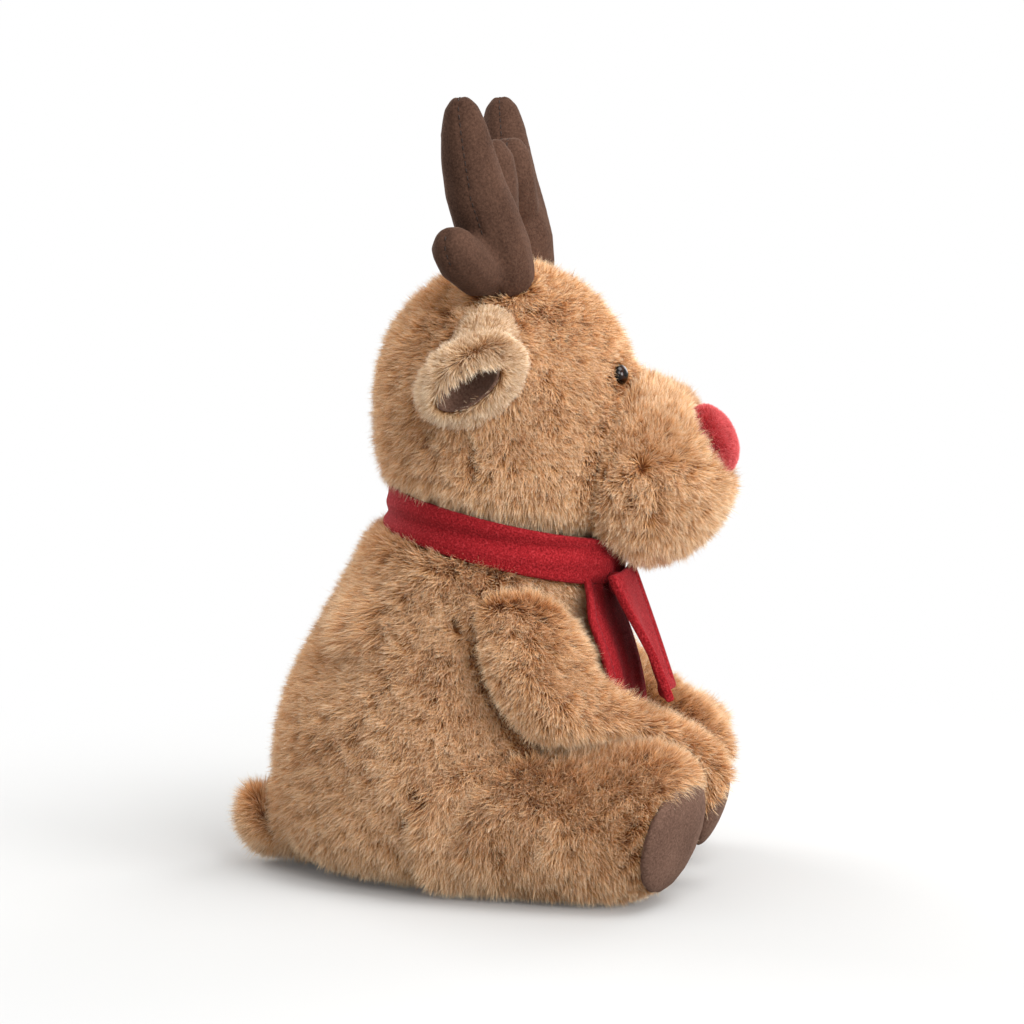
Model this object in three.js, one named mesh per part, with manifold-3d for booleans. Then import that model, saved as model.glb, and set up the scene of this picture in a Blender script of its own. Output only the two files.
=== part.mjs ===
// A sitting plush deer: stuffed fur forms sewn together, with suede antlers, ear linings and pads,
// plastic eyes on locking shanks, and a fleece scarf.
// Millimetres, +Z up. The deer faces -Y and its right side is -X. The origin is on the floor, under
// the middle of the bounding box.
import * as THREE from 'three';
import { mergeVertices } from 'three/addons/utils/BufferGeometryUtils.js';
import Module from 'manifold-3d';

const wasm = await Module();
wasm.setup();

// Sizes

// Fits between neighbours
const seamGap = 0.35; // between two pieces that are sewn or laid against each other
const slideGap = 0.6; // between a limb and what it sweeps past
const foldGap = 1.4; // between an arm and the folded scarf tail that it sweeps past
const floorPress = 0.5; // how deep the seat and the legs are pressed flat by the floor
const pawGap = 2.4; // from the middle plane to each paw, so that the paws pass each other

// Body: a pear, heaviest low down, its back rounder than its belly
const bodyHeight = 150; // before the neck plane cuts its top
const bodyHalfWidth = 62;
const bodyHalfDepth = 72.5;
const bodyWidestShare = 0.3;
const bodyFullness = [4, 9];
const bodyDepthShares = [1, 1, 1, 1, 0.98, 0.915, 0.82, 0.72, 0.64, 0.59, 0.57];
const bodyWidthShares = [1, 1, 1, 1, 0.985, 0.94, 0.89, 0.85, 0.82, 0.81, 0.8];
const bodyLean = 14; // how far the seat lies behind the top
const bodyLeanShares = [1, 0.98, 0.91, 0.82, 0.72, 0.62, 0.52, 0.4, 0.25, 0.08, 0];

// Neck, which the collar goes round and the head turns on
const neckHeight = 126; // of the collar's lower edge, at the neck's axis
const neckForward = 5.5;
const neckTilt = THREE.MathUtils.degToRad(12.2);
const collarRadius = 47.2;
const collarBand = 17.6;
const collarThickness = 2.6;
const headTurn = THREE.MathUtils.degToRad(20);

// Head
const headTop = 238.5;
const headForward = 8;
const headHalfWidth = 53;
const headHalfDepth = 51.5;
const headOverhang = 5; // how far the cheeks hang over the collar's upper edge
const headWidestHeight = 184;
const headFullness = [4.4, 2];
const headCrownForward = 9.5;
const headChinShare = 0.3; // of the way up to the widest level, where the chin bends forward

// Muzzle
const muzzleForward = 57.5;
const muzzleRise = 31; // above the collar's lower edge
const muzzleHeight = neckHeight + muzzleRise;
const muzzleHalfWidth = 39;
const muzzleHalfDepth = 38.5;
const muzzleHalfHeight = 37;

// Nose
const noseHalfWidth = 16.5;
const noseHalfHeight = 14.5;
const noseHalfDepth = 9;
const noseReach = 29.4; // in front of the middle of the muzzle
const noseForward = muzzleForward + noseReach;
const noseRise = 12.8; // above the middle of the muzzle
const noseHeight = muzzleHeight + noseRise;
const noseTilt = THREE.MathUtils.degToRad(25.2);

// Eyes: safety eyes, a dome on a shank that a washer locks behind the fabric
const eyeSpacing = 35;
const eyeRise = 39; // above the middle of the muzzle
const eyeHeight = muzzleHeight + eyeRise;
const eyeRadius = 4.6;
const eyeDomeDepth = 3.4;
const eyeSunk = 1.8; // how deep the dome sits in the fur's surface
const eyeFlange = 1;
const shankRadius = 1.7;
const shankLength = 12;
const washerRadius = 7.5;
const washerThickness = 1.8;
const washerDepth = 6; // from the dome's back to the washer

// Ears: a lobe that hangs from a root sewn to the side of the head, with a lined cup
const earRootHeight = 213;
const earDrop = 16; // from the root to the middle of the lobe
const earFoldDrop = 11; // from the root to where the lobe folds over
const earHeight = earRootHeight - earDrop;
const earFoldHeight = earRootHeight - earFoldDrop;
const earSpread = 57; // from the middle plane to the middle of the lobe
const earForward = 3;
const earHalfLength = 24;
const earHalfBreadth = 16;
const earHalfThickness = 12;
const earSlope = THREE.MathUtils.degToRad(36);
const earDroop = THREE.MathUtils.degToRad(16);
const earRootRadius = 13;
const earRootSpread = 38;
const earRootForward = 8;
const earRootSunk = 6; // how far the root starts inside the head
const earFoldRise = 3; // how high the root arches before the lobe hangs from it
const earFoldForward = 6;
const earCupHalfLength = 15.5;
const earCupHalfBreadth = 7.5;
const earCupDepth = 13;
const earCupDrop = 4; // the cup lies below the middle of the lobe, under its fold
const earLiningThickness = 1.4;
const earLift = THREE.MathUtils.degToRad(25);

// Antlers: a beam with an outer and an inner tine, each from its own root to its own end. Their
// heights are above the top of the head.
const beamRoot = { spread: 23, forward: 12, rise: -16.5 };
const beamTip = { spread: 50, forward: -2.5, rise: 61.1 };
const beamBendShares = [[0, 0, 0], [0.28, 0.24, 0.27], [0.7, 0.72, 0.59], [1, 1, 1]];
const beamHalfBreadth = 12.5;
const beamHalfThickness = 13;
const beamFullness = [3.4, 3];
const beamWidestShare = 0.4;
const beamWidthShares = [1.04, 1.02, 1, 0.95, 0.88, 0.83, 0.8];
const outerTineRoot = { spread: 26, forward: 9, rise: -5.5 };
const outerTineEnd = { spread: 62, forward: -6, rise: 10.5 };
const outerTineBendShares = [[0, 0, 0], [0.47, 0.53, 0.19], [1, 1, 1]];
const outerTineRadius = 9.8;
const innerTineRoot = { spread: 37, forward: 8, rise: 5.5 };
const innerTineEnd = { spread: 23, forward: 5, rise: 45.5 };
const innerTineBendShares = [[0, 0, 0], [0.93, 0.5, 0.45], [1, 1, 1]];
const innerTineRadius = 9.6;
const tineFullness = [3, 3];

// Arms
const shoulderSpread = 44;
const shoulderHeight = 99;
const shoulderForward = 17;
const shoulderCapBack = 11; // how far behind and above its seam the arm's upper end rounds off
const shoulderCapRise = 18;
const armHalfWidth = 18;
const armHalfHeight = 21;
const armFullness = [3, 3.2];
const armWidthShares = [1, 1, 1, 1, 0.98, 0.98, 0.98];
const armHeightShares = [1, 1, 0.98, 0.93, 0.95, 1.08, 1.14];
const elbowSpread = 46;
const elbowForward = 38;
const elbowHeight = 70;
const wristSpread = 31;
const wristForward = 66;
const wristHeight = 51;
const pawSpread = 20.5;
const rightPawForward = 94.5;
const leftPawForward = 91; // the left arm lies a little further back than the right one
const pawHeight = 37;
const armLift = THREE.MathUtils.degToRad(30);
const pawPadHalfWidth = 11.5;
const pawPadHalfHeight = 15;
const pawPadHalfThickness = 4;
const pawPadSpread = 20.5;
const pawPadHeight = 30;
const pawPadInset = 5; // from the paw's foremost point to the pad's middle
const pawPadAside = THREE.MathUtils.degToRad(6);
const pawPadDown = THREE.MathUtils.degToRad(22);

// Legs
const hipSpread = 39;
const hipForward = -12;
const legRoot = { spread: 35, forward: -34, height: 29 };
const sole = { spread: 58, forward: 81.5, height: 32 };
const legBendShares = [[0, 0, 0], [0.17, 0.19, 0], [0.5, 0.56, 0], [0.65, 0.84, 0.7], [1, 1, 1]];
const legHalfWidth = 27;
const legHalfHeight = 29.5;
const legFullness = [2.6, 5];
const legWidestShare = 0.55;
const legWidthShares = [1.05, 1, 1, 1, 1.02, 1.02];
const legHeightShares = [1, 1, 1, 1.02, 1.1, 1.1];
const soleLeanShares = [0, 0, 0, 0.05, 0.2, 0.3]; // the sole slopes back towards the heel
const legSplay = THREE.MathUtils.degToRad(15);
const footPadHalfWidth = 21;
const footPadHalfHeight = 23.5;
const footPadHalfThickness = 4.5;
const footPadHeight = 28;
const footPadInset = 3;
const footPadAside = THREE.MathUtils.degToRad(24);
const footPadDown = THREE.MathUtils.degToRad(16);

// Tail tuft
const tailRadius = 17.5;
const tailBack = 81.5;
const tailHeight = 20.5;
const tailLift = THREE.MathUtils.degToRad(20);

// Scarf: a knot under the muzzle, one tail lying on the chest and one hanging free of it
const scarfWidth = 37;
const scarfThickness = 2.6;
const scarfAside = 16.5; // how far the tails lie to the deer's right of the middle plane
const chestTailDrop = 11; // from the collar's lower edge to the tail's upper edge
const chestTailTop = neckHeight - chestTailDrop;
const chestTailLength = 49;
const chestTailEnd = chestTailTop - chestTailLength;
const chestTailForward = 46.5; // of its upper edge
const chestTailSwell = 15; // how much further forward the belly pushes its lower edge
const chestTailFold = 0.8;
const chestTailFoldShare = 1.5; // folds across the tail's width
const chestRadius = 95; // of the chest across, under the tail
const freeTailTopForward = 55.6;
const freeTailDrop = 8.5; // from the collar's lower edge to where it leaves the knot
const freeTailTop = neckHeight - freeTailDrop;
const freeTailEndForward = 72;
const freeTailFall = 41.7; // from there to the middle of its lower edge
const freeTailEnd = freeTailTop - freeTailFall;
const freeTailCurl = 1.6; // of its long edges
const freeTailSlant = 9; // its lower edge hangs lower on the deer's right
const freeTailSwing = THREE.MathUtils.degToRad(54);
const knotHalfWidth = 21;
const knotHalfHeight = 9;
const knotHalfDepth = 5;
const knotAside = 10.5;
const knotDrop = 9; // below the collar's lower edge

// Pellet bag in the seat
const pelletBagRadius = 34;
const pelletBagHeight = 22;
const pelletBagFloor = 9; // stuffing under the bag
const pelletBagEdge = 5.5;
const closingSlit = 1; // the body's closing seam, under the bag
const closingSlitLength = 40;

// Facets
const ringSides = 24; // of the body and the head
const faceSides = 20;
const limbSides = 16;
const smallSides = 12;
const tineSides = 10;
const collarSides = 36;
const formRings = 13;
const limbRings = 11;
const tineRings = 7;
const sweepSteps = 5;
const fineSteps = 12; // where a thin edge sweeps
const padSides = 14;
const clothLengthSteps = 10;
const clothWidthSteps = 6;
const roomSteps = [4, 6]; // of the room kept free round the folded tail
const cushionRingShare = 0.7; // rings of a cushion for each of its sides

// Materials

const fur = () => new THREE.MeshStandardMaterial({ color: 0xb98f63, roughness: 1, metalness: 0 });
const suede = () => new THREE.MeshStandardMaterial({ color: 0x5f463b, roughness: 0.95, metalness: 0 });
const fleece = () => new THREE.MeshStandardMaterial({ color: 0xb0222f, roughness: 0.95, metalness: 0 });
const nosePlush = () => new THREE.MeshStandardMaterial({ color: 0xbd2733, roughness: 0.9, metalness: 0 });
const eyePlastic = () => new THREE.MeshStandardMaterial({ color: 0x1a0f0a, roughness: 0.1, metalness: 0 });
const washerPlastic = () => new THREE.MeshStandardMaterial({ color: 0xe8e4da, roughness: 0.5, metalness: 0 });
const pelletCloth = () => new THREE.MeshStandardMaterial({ color: 0xd9d2c2, roughness: 0.9, metalness: 0 });

// Solids

const at = (x, forward, height) => new THREE.Vector3(x, -forward, height);
const atSide = (hand, place) => at(hand * place.spread, place.forward, place.height);
const onHead = (hand, place) => at(hand * place.spread, place.forward, headTop + place.rise);
const xAxis = new THREE.Vector3(1, 0, 0);
const zAxis = new THREE.Vector3(0, 0, 1);

/** A closed geometry as a solid that can be joined and cut. */
function solidOf(geometry) {
  const bare = geometry.clone();
  bare.deleteAttribute('normal');
  bare.deleteAttribute('uv');
  const merged = mergeVertices(bare, 1e-4);
  return new wasm.Manifold(new wasm.Mesh({
    numProp: 3,
    vertProperties: new Float32Array(merged.attributes.position.array),
    triVerts: new Uint32Array(merged.index.array),
  }));
}

/** A solid's surface as a geometry. */
function geometryOf(solid) {
  const mesh = solid.getMesh();
  const geometry = new THREE.BufferGeometry();
  geometry.setAttribute('position', new THREE.BufferAttribute(new Float32Array(mesh.vertProperties), 3));
  geometry.setIndex(new THREE.BufferAttribute(new Uint32Array(mesh.triVerts), 1));
  const flat = geometry.toNonIndexed();
  flat.computeVertexNormals();
  return flat;
}

/** The turn by an angle about an axis through a point. */
function turnAbout(point, axis, angle) {
  return new THREE.Matrix4()
    .makeTranslation(point.x, point.y, point.z)
    .multiply(new THREE.Matrix4().makeRotationAxis(axis, angle))
    .multiply(new THREE.Matrix4().makeTranslation(-point.x, -point.y, -point.z));
}

/** All of a geometry's places while it turns from one angle to another, as one solid. */
function swept(geometry, point, axis, from, to, steps = sweepSteps) {
  let whole = null;
  for (let step = 0; step <= steps; step += 1) {
    const angle = THREE.MathUtils.lerp(from, to, step / steps);
    const placed = solidOf(geometry.clone().applyMatrix4(turnAbout(point, axis, angle)));
    whole = whole ? whole.add(placed) : placed;
  }
  return whole;
}

/** The value of an evenly spaced table at a share of its length, smoothly joined. */
function along(shares, share) {
  const curve = new THREE.SplineCurve(shares.map((value, i) => new THREE.Vector2(i, value)));
  return curve.getPoint(share).y;
}

/** Places between two ends, each given as its shares of the way aside, forward and up. */
function bent(from, to, bendShares) {
  return bendShares.map(([aside, forward, up]) => new THREE.Vector3(
    THREE.MathUtils.lerp(from.x, to.x, aside),
    THREE.MathUtils.lerp(from.y, to.y, forward),
    THREE.MathUtils.lerp(from.z, to.z, up),
  ));
}

/**
 * A stuffed form: oval rings carried along a spine, swelling to its widest share and closing to a
 * point at both ends. A fullness of 2 closes an end as a ball, and a higher one as a flatter bolster.
 * A leaning ring's top lies ahead of its bottom, by that share of the height between them.
 */
function stuffedForm({
  spine, halfWidth, halfHeight, widestShare = 0.5, fullness = [2, 2],
  widthShares = [1, 1], heightShares = widthShares, leanShares = [0, 0], side = xAxis,
  sides = ringSides, rings = formRings, grow = 0,
}) {
  const curve = new THREE.CatmullRomCurve3(spine);
  const start = curve.getPoint(0).addScaledVector(curve.getTangent(0), -grow);
  const end = curve.getPoint(1).addScaledVector(curve.getTangent(1), grow);
  const positions = [start.toArray()];
  for (let ring = 1; ring < rings; ring += 1) {
    const share = (1 - Math.cos((Math.PI * (ring - 0.5)) / (rings - 1))) / 2;
    const low = share < widestShare;
    const out = low ? 1 - share / widestShare : (share - widestShare) / (1 - widestShare);
    const power = low ? fullness[0] : fullness[1];
    const swell = (1 - out ** power) ** (1 / power);
    const centre = curve.getPointAt(share);
    const tangent = curve.getTangentAt(share);
    const across = side.clone().addScaledVector(tangent, -side.dot(tangent)).normalize();
    const up = tangent.clone().cross(across).addScaledVector(tangent, along(leanShares, share));
    const width = halfWidth * along(widthShares, share) * swell + grow;
    const height = halfHeight * along(heightShares, share) * swell + grow;
    for (let i = 0; i < sides; i += 1) {
      const angle = (2 * Math.PI * i) / sides;
      positions.push(centre.clone()
        .addScaledVector(across, width * Math.cos(angle))
        .addScaledVector(up, height * Math.sin(angle))
        .toArray());
    }
  }
  positions.push(end.toArray());
  const last = positions.length - 1;
  const index = [];
  for (let i = 0; i < sides; i += 1) {
    const next = (i + 1) % sides;
    index.push(0, 1 + next, 1 + i);
    index.push(last, last - sides + i, last - sides + next);
    for (let ring = 0; ring < rings - 2; ring += 1) {
      const a = 1 + ring * sides;
      index.push(a + i, a + next, a + sides + next);
      index.push(a + i, a + sides + next, a + sides + i);
    }
  }
  const geometry = new THREE.BufferGeometry();
  geometry.setAttribute('position', new THREE.Float32BufferAttribute(positions.flat(), 3));
  geometry.setIndex(index);
  return geometry;
}

/** An oval cushion with its own three half sizes, turned and placed. */
function ovalCushion(halfSizes, place, turn = new THREE.Euler(), grow = 0, sides = smallSides) {
  const geometry = new THREE.SphereGeometry(1, sides, Math.round(sides * cushionRingShare));
  geometry.scale(halfSizes.x + grow, halfSizes.y + grow, halfSizes.z + grow);
  geometry.applyMatrix4(new THREE.Matrix4().makeRotationFromEuler(turn));
  geometry.translate(place.x, place.y, place.z);
  return geometry;
}

/** A ring or disc turned about the neck's axis, given in radius and height above the collar's edge. */
function neckRing(outline) {
  const points = outline.map(([radius, height]) => new THREE.Vector2(radius, height));
  const geometry = new THREE.LatheGeometry(points, collarSides);
  geometry.rotateX(Math.PI / 2);
  return geometry.applyMatrix4(neckPlace);
}

/** A strip of cloth with a thickness, from a function that gives its middle surface. */
function clothStrip(middle, thickness, lengthSteps, widthSteps) {
  const sample = (u, v) => {
    const point = middle(u, v);
    const nudge = 1e-3;
    const alongU = middle(u + nudge, v).sub(middle(u - nudge, v));
    const alongV = middle(u, v + nudge).sub(middle(u, v - nudge));
    return [point, alongU.cross(alongV).normalize()];
  };
  const positions = [];
  for (const face of [0.5, -0.5]) {
    for (let i = 0; i <= lengthSteps; i += 1) {
      for (let j = 0; j <= widthSteps; j += 1) {
        const [point, normal] = sample(i / lengthSteps, j / widthSteps);
        positions.push(point.addScaledVector(normal, face * thickness).toArray());
      }
    }
  }
  const row = widthSteps + 1;
  const back = (lengthSteps + 1) * row;
  const index = [];
  const quad = (a, b, c, d) => index.push(a, b, c, a, c, d);
  for (let i = 0; i < lengthSteps; i += 1) {
    for (let j = 0; j < widthSteps; j += 1) {
      const a = i * row + j;
      quad(a, a + row, a + row + 1, a + 1);
      quad(back + a, back + a + 1, back + a + row + 1, back + a + row);
    }
    const low = i * row;
    const high = low + widthSteps;
    quad(low, back + low, back + low + row, low + row);
    quad(high, high + row, back + high + row, back + high);
  }
  for (let j = 0; j < widthSteps; j += 1) {
    const near = j;
    const far = lengthSteps * row + j;
    quad(near, near + 1, back + near + 1, back + near);
    quad(far, back + far, back + far + 1, far + 1);
  }
  const geometry = new THREE.BufferGeometry();
  geometry.setAttribute('position', new THREE.Float32BufferAttribute(positions.flat(), 3));
  geometry.setIndex(index);
  return geometry;
}

/** Everything below the floor. */
function underFloor() {
  const size = 4 * bodyHeight;
  return solidOf(new THREE.BoxGeometry(size, size, size).translate(0, 0, -size / 2));
}

// Places that several pieces share

const neckPoint = at(0, neckForward, neckHeight);
const neckPlace = new THREE.Matrix4()
  .makeTranslation(neckPoint.x, neckPoint.y, neckPoint.z)
  .multiply(new THREE.Matrix4().makeRotationX(neckTilt));
const neckAxis = zAxis.clone().applyAxisAngle(xAxis, neckTilt);

const shoulderPoint = (hand) => at(hand * shoulderSpread, shoulderForward, shoulderHeight);
const pawForward = (hand) => (hand < 0 ? rightPawForward : leftPawForward);
const liftAxis = xAxis.clone().negate();
const hipPoint = (hand) => at(hand * hipSpread, hipForward, legRoot.height);
const earPoint = (hand) => at(hand * earRootSpread, earRootForward, earRootHeight);
const tailPoint = at(0, -(tailBack - tailRadius), tailHeight);
const freeTailPoint = at(-scarfAside, freeTailTopForward, freeTailTop);

// Forms, each able to grow by a gap so that its neighbour can be cut to clear it

function bodyForm(grow = 0) {
  const spine = bodyLeanShares.map((share, i) => {
    const level = i / (bodyLeanShares.length - 1);
    return at(0, -bodyLean * share, THREE.MathUtils.lerp(-floorPress, bodyHeight, level));
  });
  return stuffedForm({
    spine, halfWidth: bodyHalfWidth, halfHeight: bodyHalfDepth, widestShare: bodyWidestShare,
    fullness: bodyFullness, widthShares: bodyWidthShares, heightShares: bodyDepthShares,
    rings: formRings + 2, grow,
  });
}

function neckStump(grow = 0) {
  const radius = collarRadius - collarThickness - seamGap + grow;
  const top = collarBand - seamGap + grow;
  return neckRing([[0, -collarBand], [radius, -collarBand], [radius, top], [0, top]]);
}

function aboveCollar() {
  const high = bodyHeight;
  return neckRing([[0, 0], [high, 0], [high, high], [0, high]]);
}

/** The room that the collar and the neck inside it take up. */
function collarRoom(grow) {
  const radius = collarRadius + grow;
  const top = collarBand + grow;
  return neckRing([[0, -grow], [radius, -grow], [radius, top], [0, top]]);
}

function headForm(grow = 0) {
  const base = neckPoint.clone().addScaledVector(neckAxis, collarBand - headOverhang);
  return stuffedForm({
    spine: [
      base,
      at(0, headCrownForward, THREE.MathUtils.lerp(base.z, headWidestHeight, headChinShare)),
      at(0, headForward, headWidestHeight),
      at(0, headCrownForward, headTop),
    ],
    halfWidth: headHalfWidth, halfHeight: headHalfDepth,
    widestShare: (headWidestHeight - base.z) / (headTop - base.z),
    fullness: headFullness, grow,
  });
}

function muzzleForm(grow = 0) {
  const halfSizes = new THREE.Vector3(muzzleHalfWidth, muzzleHalfDepth, muzzleHalfHeight);
  return ovalCushion(halfSizes, at(0, muzzleForward, muzzleHeight), new THREE.Euler(), grow, faceSides);
}

function noseForm(grow = 0) {
  const halfSizes = new THREE.Vector3(noseHalfWidth, noseHalfDepth, noseHalfHeight);
  const turn = new THREE.Euler(-noseTilt, 0, 0);
  return ovalCushion(halfSizes, at(0, noseForward, noseHeight), turn, grow, limbSides);
}

function armForm(hand, grow = 0) {
  const shoulder = shoulderPoint(hand);
  return stuffedForm({
    spine: [
      shoulder.clone().add(at(0, -shoulderCapBack, shoulderCapRise)),
      shoulder,
      at(hand * elbowSpread, elbowForward, elbowHeight),
      at(hand * wristSpread, wristForward, wristHeight),
      at(hand * pawSpread, pawForward(hand), pawHeight),
    ],
    halfWidth: armHalfWidth, halfHeight: armHalfHeight, fullness: armFullness,
    widthShares: armWidthShares, heightShares: armHeightShares, sides: limbSides, rings: limbRings, grow,
  });
}

function legForm(hand, grow = 0) {
  return stuffedForm({
    spine: bent(atSide(hand, legRoot), atSide(hand, sole), legBendShares),
    halfWidth: legHalfWidth, halfHeight: legHalfHeight, widestShare: legWidestShare, fullness: legFullness,
    widthShares: legWidthShares, heightShares: legHeightShares, leanShares: soleLeanShares,
    sides: limbSides, rings: limbRings, grow,
  });
}

const earTurn = (hand) => new THREE.Euler(-earSlope, hand * earDroop, 0, 'YXZ');

function earLobe(hand, grow = 0) {
  const halfSizes = new THREE.Vector3(earHalfThickness, earHalfLength, earHalfBreadth);
  return ovalCushion(halfSizes, at(hand * earSpread, earForward, earHeight), earTurn(hand), grow, padSides);
}

function earRoot(hand, grow = 0) {
  const inner = earPoint(hand).add(at(-hand * earRootSunk, 0, 0));
  const outer = at(hand * earSpread, earFoldForward, earFoldHeight);
  const middle = inner.clone().lerp(outer, 0.5).add(at(0, 0, earFoldRise));
  return stuffedForm({
    spine: [inner, middle, outer],
    halfWidth: earRootRadius, halfHeight: earRootRadius, fullness: tineFullness,
    side: new THREE.Vector3(0, 1, 0), sides: smallSides, rings: tineRings, grow,
  });
}

function earCup(hand, shrink = 0) {
  const halfSizes = new THREE.Vector3(earCupDepth, earCupHalfLength, earCupHalfBreadth);
  const place = at(hand * (earSpread + earHalfThickness), earForward, earHeight - earCupDrop);
  return ovalCushion(halfSizes, place, earTurn(hand), -shrink, smallSides);
}

function antlerForm(hand, grow = 0) {
  const beam = stuffedForm({
    spine: bent(onHead(hand, beamRoot), onHead(hand, beamTip), beamBendShares),
    halfWidth: beamHalfBreadth, halfHeight: beamHalfThickness,
    widestShare: beamWidestShare, fullness: beamFullness,
    widthShares: beamWidthShares, sides: smallSides, rings: limbRings, grow,
  });
  const outerTine = stuffedForm({
    spine: bent(onHead(hand, outerTineRoot), onHead(hand, outerTineEnd), outerTineBendShares),
    halfWidth: outerTineRadius, halfHeight: outerTineRadius, fullness: tineFullness,
    side: new THREE.Vector3(0, 1, 0), sides: tineSides, rings: tineRings, grow,
  });
  const innerTine = stuffedForm({
    spine: bent(onHead(hand, innerTineRoot), onHead(hand, innerTineEnd), innerTineBendShares),
    halfWidth: innerTineRadius, halfHeight: innerTineRadius, fullness: tineFullness,
    sides: tineSides, rings: tineRings, grow,
  });
  return solidOf(beam).add(solidOf(outerTine)).add(solidOf(innerTine));
}

function tailForm(grow = 0) {
  const halfSizes = new THREE.Vector3(tailRadius, tailRadius, tailRadius);
  return ovalCushion(halfSizes, at(0, -tailBack, tailHeight), new THREE.Euler(), grow, smallSides);
}

// Pieces

function pelletBag(grow = 0) {
  const low = pelletBagFloor - grow;
  const high = pelletBagFloor + pelletBagHeight + grow;
  const radius = pelletBagRadius + grow;
  const flat = radius - pelletBagEdge;
  const outline = [
    [0, low], [flat, low], [radius, low + pelletBagEdge],
    [radius, high - pelletBagEdge], [flat, high], [0, high],
  ].map(([r, z]) => new THREE.Vector2(r, z));
  const geometry = new THREE.LatheGeometry(outline, faceSides);
  geometry.rotateX(Math.PI / 2);
  geometry.translate(0, bodyLean, 0);
  return geometry;
}

function closingSeam() {
  const tall = 2 * pelletBagFloor;
  return solidOf(new THREE.BoxGeometry(closingSlitLength, closingSlit, tall).translate(0, bodyLean, 0));
}

/** The body below the collar with the neck that stands up inside it. */
function torsoForm(grow = 0) {
  return solidOf(bodyForm(grow))
    .subtract(solidOf(aboveCollar()))
    .add(solidOf(neckStump(grow)));
}

function makeBody() {
  return torsoForm()
    .subtract(underFloor())
    .subtract(solidOf(pelletBag(seamGap)))
    .subtract(closingSeam());
}

/** The body and collar with a gap round them, as the limbs meet them. */
function bodyRoom(grow) {
  return geometryOf(torsoForm(grow).add(solidOf(collarRoom(grow))));
}

/** The eye's place on the head's surface, its own Y axis pointing straight out of the fur. */
function eyePlace(hand) {
  const across = (hand * eyeSpacing) / 2;
  const rise = eyeHeight - headWidestHeight;
  const halfHeight = headTop - headWidestHeight;
  const reach = Math.sqrt(1 - (across / headHalfWidth) ** 2 - (rise / halfHeight) ** 2);
  const outward = new THREE.Vector3(
    across / headHalfWidth ** 2, -reach / headHalfDepth, rise / halfHeight ** 2,
  ).normalize();
  const front = headForward + headHalfDepth * reach;
  const place = at(across, front, eyeHeight).addScaledVector(outward, -eyeSunk);
  const turn = new THREE.Quaternion().setFromUnitVectors(new THREE.Vector3(0, 1, 0), outward);
  return new THREE.Matrix4().compose(place, turn, new THREE.Vector3(1, 1, 1));
}

/** A turned shape that points out of the face, along the eye's own axis. */
function onEye(outline, hand, sides = smallSides) {
  const geometry = new THREE.LatheGeometry(outline.map(([r, y]) => new THREE.Vector2(r, y)), sides);
  return geometry.applyMatrix4(eyePlace(hand));
}

function eyeOutline(grow = 0) {
  const dome = [];
  const steps = 3;
  for (let i = 0; i <= steps; i += 1) {
    const angle = (Math.PI / 2) * (i / steps);
    dome.push([(eyeRadius + grow) * Math.cos(angle), (eyeDomeDepth + grow) * Math.sin(angle)]);
  }
  dome[steps][0] = 0;
  return [
    [0, -shankLength - grow],
    [shankRadius + grow, -shankLength - grow],
    [shankRadius + grow, -eyeFlange - grow],
    [eyeRadius + grow, -eyeFlange - grow],
    ...dome,
  ];
}

function washerOutline(grow = 0) {
  const bore = Math.max(shankRadius + seamGap - grow, 0);
  const high = -washerDepth + grow;
  const low = -washerDepth - washerThickness - grow;
  const radius = washerRadius + grow;
  return [[bore, low], [radius, low], [radius, high], [bore, high], [bore, low]];
}

function makeHead() {
  let head = solidOf(headForm()).subtract(solidOf(collarRoom(seamGap)));
  for (const hand of [-1, 1]) {
    head = head.subtract(solidOf(onEye(eyeOutline(seamGap), hand)));
    head = head.subtract(solidOf(onEye(washerOutline(seamGap), hand)));
  }
  return head;
}

function makeMuzzle() {
  return solidOf(muzzleForm())
    .subtract(solidOf(headForm(seamGap)))
    .subtract(solidOf(collarRoom(slideGap)))
    .subtract(solidOf(noseForm(seamGap)));
}

function makeEar(hand) {
  const outward = new THREE.Vector3(0, hand, 0);
  const pivot = earPoint(hand);
  const headRoom = swept(headForm(seamGap), pivot, outward, 0, earLift);
  return solidOf(earLobe(hand))
    .add(solidOf(earRoot(hand)))
    .subtract(headRoom)
    .subtract(solidOf(earCup(hand)));
}

function makeEarLining(hand) {
  const outside = solidOf(earCup(hand, seamGap)).intersect(solidOf(earLobe(hand, -seamGap)));
  return outside.subtract(solidOf(earCup(hand, seamGap + earLiningThickness)));
}

function makeAntler(hand) {
  return antlerForm(hand).subtract(solidOf(headForm(seamGap)));
}

/** A turn whose Y axis faces aside and down by these angles, for a pad on the end of a limb. */
function facing(hand, aside, down) {
  return new THREE.Euler(down, 0, hand * aside, 'ZXY');
}

function pawPad(hand, grow = 0) {
  const halfSizes = new THREE.Vector3(pawPadHalfWidth, pawPadHalfThickness, pawPadHalfHeight);
  const place = at(hand * pawPadSpread, pawForward(hand) - pawPadInset, pawPadHeight);
  return ovalCushion(halfSizes, place, facing(hand, pawPadAside, pawPadDown), grow, padSides);
}

function footPad(hand, grow = 0) {
  const halfSizes = new THREE.Vector3(footPadHalfWidth, footPadHalfThickness, footPadHalfHeight);
  const place = at(hand * sole.spread, sole.forward - footPadInset, footPadHeight);
  return ovalCushion(halfSizes, place, facing(hand, footPadAside, footPadDown), grow, limbSides);
}

/** The slot between the two paws, down the middle plane. */
function pawSlot() {
  const length = 4 * bodyHeight;
  return solidOf(new THREE.BoxGeometry(2 * pawGap, length, length));
}

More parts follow.
